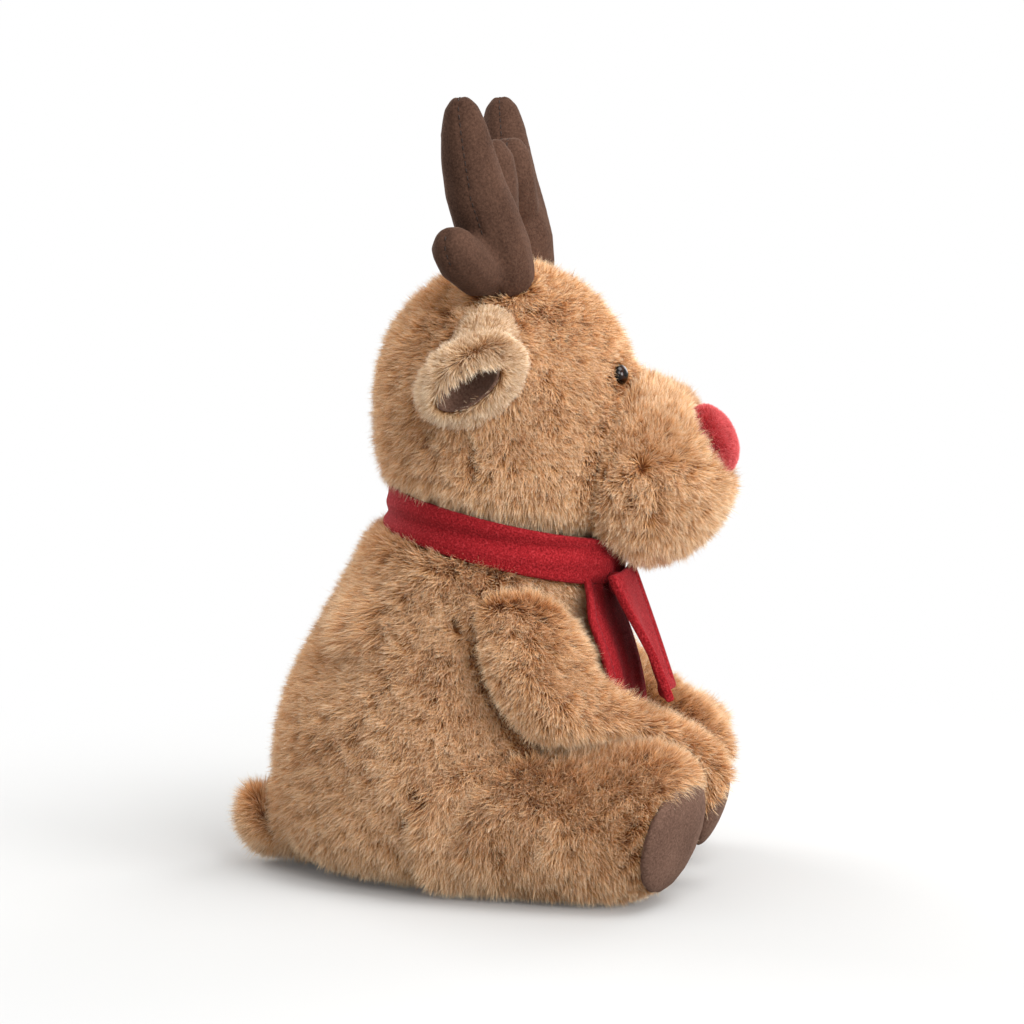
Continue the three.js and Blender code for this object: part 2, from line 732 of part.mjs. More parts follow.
function makeArm(hand, bodySpace) {
  const pivot = shoulderPoint(hand);
  const chestTailRoom = chestTailForm(foldGap, chestTailSwell, roomSteps);
  return solidOf(armForm(hand))
    .subtract(swept(bodySpace, pivot, liftAxis, 0, -armLift))
    .subtract(swept(legForm(hand, slideGap), hipPoint(hand), zAxis, 0, hand * legSplay))
    .subtract(swept(legForm(hand, slideGap), pivot, liftAxis, 0, -armLift))
    .subtract(swept(chestTailRoom, pivot, liftAxis, 0, -armLift, fineSteps))
    .subtract(pawSlot())
    .subtract(solidOf(pawPad(hand, seamGap)));
}

function makeLeg(hand, bodySpace) {
  const pivot = hipPoint(hand);
  return solidOf(legForm(hand))
    .subtract(swept(bodySpace, pivot, zAxis, 0, -hand * legSplay))
    .subtract(underFloor())
    .subtract(solidOf(footPad(hand, seamGap)));
}

function makeTail(bodySpace) {
  return solidOf(tailForm()).subtract(swept(bodySpace, tailPoint, xAxis, 0, -tailLift));
}

function makeCollar() {
  const inner = collarRadius - collarThickness;
  const top = collarBand;
  const roll = collarThickness / 3;
  return solidOf(neckRing([
    [inner, seamGap], [collarRadius - roll, seamGap], [collarRadius, seamGap + roll],
    [collarRadius, top - roll], [collarRadius - roll, top], [inner, top], [inner, seamGap],
  ]));
}

/** The muzzle's room while the head turns both ways. */
function muzzleRoom() {
  return swept(muzzleForm(slideGap), neckPoint, neckAxis, -headTurn, headTurn);
}

/** The knot's form, which the tails come out from under. */
function knotForm(grow = 0) {
  const halfSizes = new THREE.Vector3(knotHalfWidth, knotHalfDepth, knotHalfHeight);
  const place = at(-knotAside, neckForward + collarRadius, neckHeight - knotDrop);
  return ovalCushion(halfSizes, place, new THREE.Euler(), grow, smallSides);
}

function makeKnot(headSweep) {
  const tailRoom = swept(freeTailForm(seamGap), freeTailPoint, liftAxis, 0, freeTailSwing);
  return solidOf(knotForm())
    .subtract(solidOf(collarRoom(seamGap)))
    .subtract(torsoForm(seamGap))
    .subtract(headSweep)
    .subtract(tailRoom);
}

/**
 * The tail that lies on the chest, pushed forward by the belly, with a fold running down it. A depth
 * fills the space behind it, towards the body.
 */
function chestTailForm(grow = 0, depth = 0, steps = [clothLengthSteps, clothWidthSteps]) {
  return clothStrip((u, v) => {
    const across = (v - 0.5) * (scarfWidth + 2 * grow) - scarfAside;
    const fold = chestTailFold * Math.sin(2 * Math.PI * v * chestTailFoldShare) * u;
    const drop = chestTailForward + chestTailSwell * Math.sin((Math.PI / 2) * u);
    const round = across ** 2 / (2 * chestRadius);
    const height = THREE.MathUtils.lerp(chestTailTop + grow, chestTailEnd - grow, u);
    return at(across, drop - round + fold - depth / 2, height);
  }, scarfThickness + 2 * grow + depth, ...steps);
}

function makeChestTail(bodySpace) {
  return solidOf(chestTailForm())
    .subtract(solidOf(knotForm(seamGap)))
    .subtract(solidOf(bodySpace));
}

/** The hanging tail, its long edges curling forward. */
function freeTailForm(grow = 0) {
  const end = at(-scarfAside, freeTailEndForward, freeTailEnd);
  const reach = grow / freeTailPoint.distanceTo(end);
  return clothStrip((u, v) => {
    const middle = freeTailPoint.clone().lerp(end, THREE.MathUtils.lerp(-reach, 1 + reach, u));
    const across = (v - 0.5) * (scarfWidth + 2 * grow);
    const curl = freeTailCurl * Math.cos(2 * Math.PI * v) * Math.sin((Math.PI / 2) * u);
    return middle.add(at(across, curl, freeTailSlant * (v - 0.5) * u));
  }, scarfThickness + 2 * grow, clothLengthSteps, clothWidthSteps);
}

// Assembly

/** Adds a piece to a group, with its vertices turned from the part's frame into the group's own. */
function addPiece(group, name, solid, material) {
  group.updateWorldMatrix(true, false);
  const geometry = geometryOf(solid).applyMatrix4(group.matrixWorld.clone().invert());
  geometry.computeVertexNormals();
  const mesh = new THREE.Mesh(geometry, material);
  mesh.name = name;
  group.add(mesh);
}

function groupAt(parent, point, tilt = 0) {
  const group = new THREE.Group();
  group.position.copy(point);
  group.rotation.x = tilt;
  parent.add(group);
  group.updateMatrixWorld(true);
  return group;
}

function sideName(hand) {
  return hand < 0 ? 'right' : 'left';
}

const deer = new THREE.Group();
const bodySpace = bodyRoom(seamGap);
const headSweep = muzzleRoom();

addPiece(deer, 'body', makeBody(), fur());
addPiece(deer, 'pellet_bag', solidOf(pelletBag()), pelletCloth());
addPiece(deer, 'scarf_collar', makeCollar(), fleece());
addPiece(deer, 'scarf_knot', makeKnot(headSweep), fleece());
addPiece(deer, 'scarf_chest_tail', makeChestTail(bodySpace), fleece());

const freeTail = groupAt(deer, freeTailPoint);
addPiece(freeTail, 'scarf_free_tail', solidOf(freeTailForm()), fleece());

const tail = groupAt(deer, tailPoint);
addPiece(tail, 'tail', makeTail(bodySpace), fur());

const head = new THREE.Group();
head.applyMatrix4(neckPlace);
deer.add(head);
addPiece(head, 'head', makeHead(), fur());
addPiece(head, 'muzzle', makeMuzzle(), fur());
addPiece(head, 'nose', solidOf(noseForm()), nosePlush());

for (const hand of [-1, 1]) {
  const side = sideName(hand);
  addPiece(head, `eye_${side}`, solidOf(onEye(eyeOutline(), hand)), eyePlastic());
  addPiece(head, `eye_washer_${side}`, solidOf(onEye(washerOutline(), hand)), washerPlastic());
  addPiece(head, `antler_${side}`, makeAntler(hand), suede());

  const ear = groupAt(deer, earPoint(hand));
  addPiece(ear, `ear_${side}`, makeEar(hand), fur());
  addPiece(ear, `ear_lining_${side}`, makeEarLining(hand), suede());

  const arm = groupAt(deer, shoulderPoint(hand));
  addPiece(arm, `arm_${side}`, makeArm(hand, bodySpace), fur());
  addPiece(arm, `paw_pad_${side}`, solidOf(pawPad(hand)), suede());

  const leg = groupAt(deer, hipPoint(hand));
  addPiece(leg, `leg_${side}`, makeLeg(hand, bodySpace), fur());
  addPiece(leg, `foot_pad_${side}`, solidOf(footPad(hand)), suede());
}

export default deer;
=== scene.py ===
# %% [markdown]
# # A sitting plush deer
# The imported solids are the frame: every piece below lies where its solid lies, and rides on the same
# body. A plush toy is cloth with a pile on it, sewn into closed forms and stuffed. So each fur form is
# made in two layers, as it is in the factory: a cloth skin a few millimetres inside the solid, and
# hairs that stand on it and reach the solid's surface.

# %% Load the frame
from math import atan2, cos, exp, hypot, pi, radians, sin

import bpy
import numpy as np
from mathutils import Matrix, Vector
from mathutils.bvhtree import BVHTree


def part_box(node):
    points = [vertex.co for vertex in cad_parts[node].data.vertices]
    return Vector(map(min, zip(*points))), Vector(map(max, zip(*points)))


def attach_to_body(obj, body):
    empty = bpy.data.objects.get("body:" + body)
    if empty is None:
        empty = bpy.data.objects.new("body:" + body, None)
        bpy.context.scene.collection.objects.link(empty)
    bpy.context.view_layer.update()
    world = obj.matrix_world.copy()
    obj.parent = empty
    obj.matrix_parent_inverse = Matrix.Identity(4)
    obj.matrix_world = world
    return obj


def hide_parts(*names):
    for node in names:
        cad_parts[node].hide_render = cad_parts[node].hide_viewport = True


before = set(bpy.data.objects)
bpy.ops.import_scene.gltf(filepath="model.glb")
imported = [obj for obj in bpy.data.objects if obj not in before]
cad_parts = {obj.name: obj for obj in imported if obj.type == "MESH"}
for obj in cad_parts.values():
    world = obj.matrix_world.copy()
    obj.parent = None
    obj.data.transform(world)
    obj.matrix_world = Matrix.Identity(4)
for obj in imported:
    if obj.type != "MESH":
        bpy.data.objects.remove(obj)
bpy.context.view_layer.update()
MM = 0.001
SIDES = {"right": -1, "left": 1}
HEAD = "head_and_antlers"

# %% [markdown]
# ## Helpers
# Colours are written as hex values, and turned into the linear light that Blender's shaders want. Other
# functions add a node with its settings and links, and build a material from a pattern.


# %% Colours and nodes
def linear(hex_colour):
    """A #rrggbb colour as linear red, green, blue and alpha."""
    parts = [int(hex_colour[i:i + 2], 16) / 255 for i in (1, 3, 5)]
    return (*[c / 12.92 if c <= 0.04045 else ((c + 0.055) / 1.055) ** 2.4 for c in parts], 1.0)


def add_node(tree, kind, settings=(), inputs=(), links=()):
    """One shader node: its settings, its sockets' own values, and what feeds its sockets."""
    node = tree.nodes.new("ShaderNode" + kind)
    for name, value in dict(settings).items():
        setattr(node, name, value)
    for name, value in dict(inputs).items():
        node.inputs[name].default_value = value
    for name, source in dict(links).items():
        tree.links.new(source, node.inputs[name])
    return node


def new_material(name, values=()):
    """A material with nothing but its shader, which has these values, and its output."""
    material = bpy.data.materials.new(name)
    material.use_nodes = True
    tree = material.node_tree
    tree.nodes.clear()
    shader = add_node(tree, "BsdfPrincipled", inputs=values)
    add_node(tree, "OutputMaterial", links={"Surface": shader.outputs["BSDF"]})
    return material, tree, shader


def ramp(tree, source, stops):
    """A colour ramp of (position, hex) stops, fed by a number."""
    node = add_node(tree, "ValToRGB", links={"Fac": source})
    elements = node.color_ramp.elements
    while len(elements) < len(stops):
        elements.new(0.5)
    for element, (position, colour) in zip(elements, stops):
        element.position = position
        element.color = linear(colour)
    return node


def mix_shaders(tree, share, first, second):
    """The first shader where the share is 0, and the second where it is 1."""
    links = {0: share, 1: first.outputs[0], 2: second.outputs[0]}
    return add_node(tree, "MixShader", links=links)


def texture(tree, kind, inputs, settings=()):
    """A texture laid out in the object's own metres."""
    place = add_node(tree, "TexCoord")
    return add_node(tree, kind, settings, inputs, {"Vector": place.outputs["Object"]})


def paint(tree, shader, value, stops, bump=None, height=None):
    """Colours a surface by a pattern's value. A bump's strength and depth raise it by its height."""
    colour = ramp(tree, value, stops)
    tree.links.new(colour.outputs["Color"], shader.inputs["Base Color"])
    if bump is not None:
        sizes = {"Strength": bump[0], "Distance": bump[1]}
        links = {"Height": value if height is None else height}
        relief = add_node(tree, "Bump", inputs=sizes, links=links)
        tree.links.new(relief.outputs["Normal"], shader.inputs["Normal"])


def grained_material(name, dark, light, scale, detail=3, spread=0.15, roughness=0.95, bump=None):
    """One fine noise mottles the surface between two colours, and raises it."""
    material, tree, shader = new_material(name, {"Roughness": roughness})
    grain = texture(tree, "TexNoise", {"Scale": scale, "Detail": detail})
    paint(tree, shader, grain.outputs["Fac"], [(0.5 - spread, dark), (0.5 + spread, light)], bump)
    return material


# %% Pieces
def select_only(piece):
    """Nothing is selected but this piece, which becomes the active one."""
    bpy.ops.object.select_all(action="DESELECT")
    piece.select_set(True)
    bpy.context.view_layer.objects.active = piece


def add_piece(name, mesh, material=None):
    """A new object at the origin."""
    piece = bpy.data.objects.new(name, mesh)
    bpy.context.scene.collection.objects.link(piece)
    if material is not None:
        piece.data.materials.append(material)
    return piece


def face_outward(piece, merge=None):
    """Turns all faces outward. Corners closer than merge become one first."""
    select_only(piece)
    bpy.ops.object.mode_set(mode="EDIT")
    bpy.ops.mesh.select_all(action="SELECT")
    if merge is not None:
        bpy.ops.mesh.remove_doubles(threshold=merge)
    bpy.ops.mesh.normals_make_consistent(inside=False)
    bpy.ops.object.mode_set(mode="OBJECT")


def attach(piece, body, node=None):
    """The piece rides on a body. It may stand for a solid, which is then hidden."""
    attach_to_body(piece, body)
    if node is not None:
        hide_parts(node)
    return piece


# %% [markdown]
# ## Camera
# The deer is seen from its right side, a little from the front and a little from above, through a long
# lens: the floor's edge isn't seen and near and far limbs are almost the same size.

# %% Camera
CAMERA_AZIMUTH = radians(-81.5)
CAMERA_ELEVATION = radians(7.05)
CAMERA_DISTANCE = 1.3
CAMERA_LENS = 118.48
CAMERA_TARGET = Vector((0, -0.00956, 0.1404))

towards_camera = Vector((
    sin(CAMERA_AZIMUTH) * cos(CAMERA_ELEVATION),
    -cos(CAMERA_AZIMUTH) * cos(CAMERA_ELEVATION),
    sin(CAMERA_ELEVATION),
))
bpy.ops.object.camera_add(location=CAMERA_TARGET + CAMERA_DISTANCE * towards_camera)
camera = bpy.context.object
camera.data.lens = CAMERA_LENS
camera.rotation_mode = "QUATERNION"
camera.rotation_quaternion = (-towards_camera).to_track_quat("-Z", "Y")
bpy.context.scene.camera = camera
bpy.context.scene.view_settings.view_transform = "Standard"

# %% [markdown]
# ## Floor and light
# The floor is lit as any surface is, and to the camera alone it also gives back a little light of its
# own, which lifts it to white and leaves the shadow. The light comes from a white room and from soft
# boxes: overhead, in front, beside the camera, and two on the far side, which catch the tips of the pile
# along the outline.

# %% Floor
FLOOR_SIZE = 12
FADE_START, FADE_END = 0.15, 0.42  # from its own light to plain white, in metres from the middle
FLOOR_GLOW = 0.04

floor_material, tree, shader = new_material("studio_floor", {
    "Base Color": linear("#CACAC9"), "Roughness": 0.9, "Specular IOR Level": 0.0,
})
bounce = add_node(tree, "BsdfDiffuse", inputs={"Color": linear("#A4A3A2")})
glow = add_node(tree, "Emission", inputs={"Strength": FLOOR_GLOW})
lifted = add_node(tree, "AddShader", links={0: shader.outputs[0], 1: glow.outputs[0]})
backdrop = add_node(tree, "Emission", inputs={"Strength": 1.0})
place = add_node(tree, "TexCoord")
radius = add_node(tree, "VectorMath", {"operation": "LENGTH"}, links={0: place.outputs["Object"]})
fade = add_node(
    tree, "MapRange", {"interpolation_type": "SMOOTHSTEP"},
    {"From Min": FADE_START, "From Max": FADE_END}, {"Value": radius.outputs["Value"]},
)
seen = mix_shaders(tree, fade.outputs["Result"], lifted, backdrop)
path = add_node(tree, "LightPath")
final = mix_shaders(tree, path.outputs["Is Camera Ray"], bounce, seen)
output = next(n for n in tree.nodes if n.type == "OUTPUT_MATERIAL")
tree.links.new(final.outputs["Shader"], output.inputs["Surface"])

bpy.ops.mesh.primitive_plane_add(size=FLOOR_SIZE, location=(0, 0, 0))
floor = bpy.context.object
floor.name = "studio_floor"
floor.data.materials.append(floor_material)

# %% World and lamps
ROOM_STRENGTH = 0.68
world = bpy.data.worlds.new("white_room")
bpy.context.scene.world = world
world.use_nodes = True
tree = world.node_tree
tree.nodes.clear()
room, white = (
    add_node(tree, "Background", inputs={"Color": (1, 1, 1, 1), "Strength": strength})
    for strength in (ROOM_STRENGTH, 1.0)
)
path = add_node(tree, "LightPath")
mixed = mix_shaders(tree, path.outputs["Is Camera Ray"], room, white)
add_node(tree, "OutputWorld", links={"Surface": mixed.outputs["Shader"]})


def soft_box(name, place, size, watts):
    """A square soft box that faces the middle of the deer."""
    bpy.ops.object.light_add(type="AREA", location=place)
    lamp = bpy.context.object
    lamp.name = name
    lamp.data.size = size
    lamp.data.energy = watts
    lamp.rotation_euler = (CAMERA_TARGET - Vector(place)).to_track_quat("-Z", "Y").to_euler()


soft_box("overhead_box", (-0.3, -0.8, 1.7), 1.0, 19)
soft_box("front_box", (-1.0, -1.9, 0.65), 0.9, 27)
soft_box("camera_box", (-1.8, -1.1, 1.2), 0.9, 16)
soft_box("far_box_back", (1.1, 1.5, 0.8), 1.2, 26)
soft_box("far_box_front", (1.6, -0.9, 0.8), 1.0, 12)

# %% [markdown]
# ## Fur
# The fabric is a knitted backing with a brushed polyester pile about 6 mm long. Each hair is paler at
# its tip and darker where it dives into the pile, and that is what shows the tufts; the darker colour
# towards the root is painted shade of the pile's depths. A hair's mesh carries its tone across its map
# and the way from root to tip up its map, and the material reads only that.

# %% Fur materials
COLOUR_A, COLOUR_B, COLOUR_OUT = 6, 7, 2  # a mix node's colour sockets, which share their names with others


def own_map(tree):
    """The two numbers of a mesh's own map, as X and Y."""
    lookup = add_node(tree, "UVMap", {"uv_map": "OFBake"})
    return add_node(tree, "SeparateXYZ", links={"Vector": lookup.outputs["UV"]})


def fur_material(name, root, deep, middle, tip):
    """Pile whose colour runs from a dark root, painted shade deep in the pile, to a pale tip, with a tone
    for each hair.
    """
    material, tree, shader = new_material(name, {
        "Roughness": 0.62, "Specular IOR Level": 0.12, "Sheen Weight": 0.08, "Sheen Roughness": 0.5,
    })
    split = own_map(tree)
    length = ramp(tree, split.outputs["Y"], [(0.0, root), (0.25, deep), (0.6, middle), (1.0, tip)])
    tone = ramp(tree, split.outputs["X"], [(0.0, "#C4A68C"), (0.5, "#FAF5EE"), (0.8, "#FFFFFF")])
    links = {COLOUR_A: length.outputs["Color"], COLOUR_B: tone.outputs["Color"]}
    settings = {"data_type": "RGBA", "blend_type": "MULTIPLY"}
    mix = add_node(tree, "Mix", settings, {"Factor": 1.0}, links)
    tree.links.new(mix.outputs[COLOUR_OUT], shader.inputs["Base Color"])
    return material


# The knitted backing between the hairs is matte, and mottled at the spacing of the tufts. Its dark colour,
# as dark as the roots, is painted shade deep in the pile.
KNITTED = {"scale": 900, "detail": 4, "spread": 0.2, "bump": (0.6, 0.6 * MM)}
fur_pile = fur_material("brushed_polyester_pile", "#6F3B1B", "#B87A46", "#F5C48C", "#FFF2D8")
ear_pile = fur_material("pale_ear_pile", "#8C5A34", "#D4A676", "#F0D2AA", "#FFF3E0")
fur_backing = grained_material("knitted_fur_backing", "#5C3618", "#86552A", **KNITTED)
nose_pile = fur_material("nose_velour_pile", "#B02A30", "#D2404A", "#E45C62", "#F89498")
nose_backing = grained_material("knitted_nose_backing", "#8E1420", "#B3202E", **KNITTED)

# %% [markdown]
# ## Skins
# A skin starts as a copy of its solid. It is remeshed into an even net, smoothed, and moved in by the
# height of the pile, so that hairs can stand on it without leaving the solid.


# %% Make a skin from a solid
def with_modifier(piece, kind, **settings):
    """Adds a modifier with its settings, and applies it."""
    select_only(piece)
    modifier = piece.modifiers.new(kind.lower(), kind)
    for key, value in settings.items():
        setattr(modifier, key, value)
    bpy.ops.object.modifier_apply(modifier=modifier.name)


def faces_tree(mesh):
    """A search tree of a mesh's faces."""
    return BVHTree.FromPolygons([v.co for v in mesh.vertices], [p.vertices for p in mesh.polygons])


def solid_tree(node):
    """A search tree of a solid, to ask how far inside it a point is."""
    return faces_tree(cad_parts[node].data)


def depth_in(tree, point):
    """How far inside a closed solid a point is, and less than zero outside it."""
    near, normal, _, distance = tree.find_nearest(point)
    return distance if (point - near).dot(normal) < 0 else -distance


def gap_to(trees, point):
    """The distance from a point to the nearest neighbour."""
    return min((abs(depth_in(tree, point)) for tree in trees), default=1.0)


def weigh_by_distance(piece, trees, reach, puff):
    """A vertex group that is 0 against a neighbour and 1 beyond its reach, less what is puffed out."""
    group = piece.vertex_groups.new(name="free")
    for vertex in piece.data.vertices:
        free = rise(gap_to(trees, vertex.co), 0, reach(vertex.co) * MM)
        group.add([vertex.index], free * (1 - puff(vertex.co, vertex.normal)), "REPLACE")


def note_seams(piece, trees):
    """Keeps each vertex's distance to the nearest neighbour on the mesh, for the pile to read."""
    layer = piece.data.attributes.new("seam_gap", "FLOAT", "POINT")
    for vertex in piece.data.vertices:
        layer.data[vertex.index].value = gap_to(trees, vertex.co)


def plug(piece, places, radius):
    """Fills sockets that another piece covers, so that the cloth runs on across them."""
    for place in places:
        bpy.ops.mesh.primitive_uv_sphere_add(segments=24, ring_count=12, radius=radius, location=place)
        filler = bpy.context.object
        select_only(piece)
        filler.select_set(True)
        bpy.ops.object.join()


def even_net(piece, net, rounds):
    """Remeshes a form into an even net of this many millimetres, and smooths it."""
    with_modifier(piece, "REMESH", mode="VOXEL", voxel_size=net * MM)
    with_modifier(piece, "SMOOTH", factor=0.5, iterations=rounds)


def skin(
    node, inset, net=2.5, smooth=8, beside=(), reach=lambda place: 7, puff=lambda place, normal: 0,
    plugs=(), plug_radius=0.0,
):
    """The stuffed cloth form under a pile, which comes up to its neighbours at their seams."""
    trees = [solid_tree(other) for other in beside]
    piece = add_piece(node + "_skin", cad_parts[node].data.copy())
    piece.data.materials.clear()
    face_outward(piece, merge=0.01 * MM)
    plug(piece, plugs, plug_radius)
    even_net(piece, net, smooth)
    if inset:
        weigh_by_distance(piece, trees, reach, puff)
        with_modifier(piece, "DISPLACE", strength=-inset * MM, mid_level=0.0, vertex_group="free")
        even_net(piece, net, 3)
    note_seams(piece, trees)
    piece.data.shade_smooth()
    return piece


# %% [markdown]
# ## Hairs
# Blender's own hair can't be carried in a mesh file, so each hair here is a blade of one triangle.
# Hairs are placed evenly by area. They are combed along the cloth, the comb's direction wanders, and
# neighbouring tips are drawn together into tufts, as brushed pile does. Under the seat the pile is
# pressed flat, so no tip goes below the floor.

# %% Place and comb the hairs
HAIR_SHARE = 1.0
MAP_WIDTH = 0.012  # how much of the map's width one hair takes
NEAR = 14 * MM  # beyond this distance from its seams a hair meets no neighbour
ROOT_DEPTH = 0.3 * MM  # how far a hair's root is sunk in the cloth
FLOOR_GAP = 0.3 * MM
IN_BARE = (-0.5, 0.3)  # how deep a hair's root and tip may lie in a bare neighbour, in millimetres
IN_FURRED = (4.6, 99)  # and in one whose own skin lies a pile deep, where only the root counts
CLIPPED = 0.4  # share of its length that a hair keeps where it is pressed short beside a seam, which also darkens it as painted shade
CAUGHT = 0.62  # share of its length that a hair loses in a seam's crease
CREASE = 7 * MM  # how far from a seam its crease draws the pile in
STANDS = 0.65  # a leaning hair's height, as a share of its length


def wander(points, size, seed):
    """A smooth value between about -1 and 1 that changes over this many metres."""
    draw = np.random.default_rng(seed)
    value = np.zeros(len(points))
    for _ in range(7):
        wave = draw.normal(size=3)
        wave *= 2 * pi / (size * np.linalg.norm(wave)) * draw.uniform(0.6, 1.5)
        value += np.sin(points @ wave + draw.uniform(0, 2 * pi))
    return value / 3.2


def rise(value, low, high):
    """0 below low, 1 above high, and a smooth change between."""
    share = np.clip((value - low) / (high - low), 0, 1)
    return share * share * (3 - 2 * share)


def lengths(vectors):
    return np.linalg.norm(vectors, axis=1)


def unit(vectors):
    return vectors / np.maximum(lengths(vectors)[:, None], 1e-9)


def read_all(items, name, kind=float, width=3):
    """One property of all of a mesh's items, a row for each."""
    values = np.zeros(len(items) * width, kind)
    items.foreach_get(name, values)
    return values.reshape(-1, width)


def surface_points(piece, count, draw):
    """Points spread evenly by area on a mesh, their normals and seam gaps, and the mesh's area."""
    mesh = piece.data
    mesh.calc_loop_triangles()
    corners = read_all(mesh.loop_triangles, "vertices", np.int32)
    places = read_all(mesh.vertices, "co")
    normals = read_all(mesh.vertex_normals, "vector", np.float32).astype(float)
    a, b, c = (places[corners[:, i]] for i in range(3))
    areas = lengths(np.cross(b - a, c - a)) / 2
    cumulative = np.cumsum(areas)
    picks = (np.arange(count) + draw.random(count)) / count * cumulative[-1]
    chosen = np.searchsorted(cumulative, picks)
    u = draw.random((count, 1))
    v = draw.random((count, 1))
    over = (u + v) > 1
    u, v = (np.where(over, 1 - share, share) for share in (u, v))
    points = a[chosen] + u * (b - a)[chosen] + v * (c - a)[chosen]
    na, nb, nc = (normals[corners[chosen, i]] for i in range(3))
    gaps = read_all(mesh.attributes["seam_gap"].data, "value", width=1)[corners[chosen], 0].min(axis=1)
    return points, unit(na * (1 - u - v) + nb * u + nc * v), gaps, cumulative[-1]


def hair_mesh(name, roots, across, tips, width, tone, material):
    """One mesh of hairs, each a blade that narrows to its tip, with its tone and height on its map."""
    count = len(roots)
    verts = np.stack([roots - width * across, roots + width * across, tips], axis=1)
    mesh = bpy.data.meshes.new(name)
    mesh.vertices.add(count * 3)
    mesh.vertices.foreach_set("co", verts.astype(np.float32).ravel())
    mesh.loops.add(count * 3)
    mesh.loops.foreach_set("vertex_index", np.arange(count * 3, dtype=np.int32))
    mesh.polygons.add(count)
    mesh.polygons.foreach_set("loop_start", np.arange(0, count * 3, 3, dtype=np.int32))
    layer = mesh.uv_layers.new(name="OFBake")
    u = np.clip(tone, 0, 1)[:, None] * (1 - MAP_WIDTH) + MAP_WIDTH * np.array([0, 1, 0.5])
    v = np.tile([0.0, 0.0, 1.0], (count, 1))
    layer.data.foreach_set("uv", np.stack([u, v], axis=2).astype(np.float32).ravel())
    mesh.update(calc_edges=True)
    mesh.shade_smooth()
    return add_piece(name, mesh, material)


def leave_out(keep, points, normals, gaps, height, furred, bare):
    """Keeps no hair that stands in a neighbour: a solid with a pile of its own, or a bare one."""
    for node, root_reach, tip_reach in [(n, *IN_FURRED) for n in furred] + [(n, *IN_BARE) for n in bare]:
        tree = solid_tree(node)
        low, high = (np.array(corner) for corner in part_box(node))
        close = np.all((points > low - 10 * MM) & (points < high + 10 * MM), axis=1)
        for i in np.flatnonzero(close & keep & (gaps < NEAR)):
            root = Vector(points[i])
            if depth_in(tree, root) > root_reach * MM:
                keep[i] = False
            elif tip_reach < PILE and depth_in(tree, root + Vector(normals[i]) * height) > tip_reach * MM:
                keep[i] = False


def everywhere(points):
    return np.ones(len(points))


def grow_fur(
    base, body, name, comb, seed, lean=0.68, stiff=0.55, width=0.17, tuft=1.8, pull=0.66, swirl=0.45,
    furred=(), bare=(), kept=(), even=everywhere, share=everywhere, mottle=1.0, crease=None, pressed_shade_reach=0.0,
    hang=None, material=fur_pile, slot="tan_plush",
):
    """
    Hairs on a skin. Comb gives each point's direction and lean the angle from upright, in radians;
    furred and bare are the neighbours, kept says where hairs stay, even is a factor on the lean, share
    a factor on the length, crease how far seams draw it in, pressed_shade_reach how far from a seam it
    is pressed short, and hang how far, and which way, it hangs off the cloth. A shorter hair is given a
    darker tone, as painted shade.
    """
    draw = np.random.default_rng(seed)
    number, length = HAIRS[name.split("_")[0]]
    points, normals, gaps, area = surface_points(base, int(number * HAIR_SHARE), draw)
    keep = np.ones(len(points), bool)
    for rule in kept:
        keep &= rule(points)
    leave_out(keep, points, normals, gaps, length * STANDS * MM, furred, bare)
    points, normals, gaps = points[keep], normals[keep], gaps[keep]
    count = len(points)
    along = comb(points, normals)
    along = unit(along - normals * np.sum(along * normals, axis=1, keepdims=True))
    beside = np.cross(normals, along)
    turn = swirl * wander(points, 30 * MM, seed + 1) + draw.normal(0, stiff, count)
    turn += 0.9 * wander(points, 4.5 * MM, seed + 2)
    flat = np.cos(turn)[:, None] * along + np.sin(turn)[:, None] * beside
    angle = lean * even(points) + 0.25 * wander(points, 6 * MM, seed + 3) + draw.normal(0, 0.22, count)
    reach = unit(np.cos(angle)[:, None] * normals + np.sin(angle)[:, None] * flat)
    if hang is not None:
        weight, way = hang(points)
        reach = unit(reach * (1 - weight[:, None]) + way * weight[:, None])
    shorter = share(points)
    if crease is not None:
        shorter = shorter * (1 - CAUGHT * crease(points) * (1 - rise(gaps, 0, CREASE)))
        # Beside a seam's crease the pile is pressed short, and below that shortness darkens it as painted
        # shade.
        shorter = shorter * np.where(gaps > pressed_shade_reach * MM * crease(points), 1, CLIPPED)
    size = length * MM * (1 + 0.1 * wander(points, 5 * MM, seed + 4) + draw.normal(0, 0.14, count))
    tips = points + reach * (size * shorter)[:, None]
    cells = np.floor(tips / (tuft * MM) + draw.normal(0, 0.2, (count, 3))).astype(np.int64)
    keys = cells[:, 0] * 73856093 ^ cells[:, 1] * 19349663 ^ cells[:, 2] * 83492791
    _, group = np.unique(keys, return_inverse=True)
    members = np.bincount(group).astype(float)
    centre = np.stack([np.bincount(group, tips[:, i]) / members for i in range(3)], axis=1)
    tips = tips + (centre[group] - tips) * (pull * (0.4 + 0.6 * draw.random((count, 1))))
    tips[:, 2] = np.maximum(tips[:, 2], FLOOR_GAP)
    tone = 0.16 * draw.normal(size=count) + 0.26 * draw.normal(size=len(members))[group]
    tone = 0.55 + mottle * (tone + 0.1 * wander(points, 30 * MM, seed + 5))
    # A shorter hair gets a darker tone: painted shade in seams' creases and round the eyes, antlers, ear
    # roots and soles.
    tone -= 0.35 * (1 - np.minimum(shorter, 1))
    up = unit(tips - points)
    flat_across = unit(np.cross(up, normals))
    roll = draw.normal(0, 0.6, (count, 1))
    across = np.cos(roll) * flat_across + np.sin(roll) * np.cross(up, flat_across)
    thick = width * MM * (0.7 + 0.6 * draw.random((count, 1)))
    roots = points - normals * ROOT_DEPTH
    attach(hair_mesh(name, roots, across, tips, thick, tone, material), body)
    print(name, "hairs", count, "per mm2", round(count / (area * 1e6), 2))


# %% [markdown]
# ## Where each form's pile lies
# The solids' sizes are repeated here in metres where the pile needs them, such as the neck that the
# collar goes round, and the middle of each cheek and the crest of each ear that it spreads from.

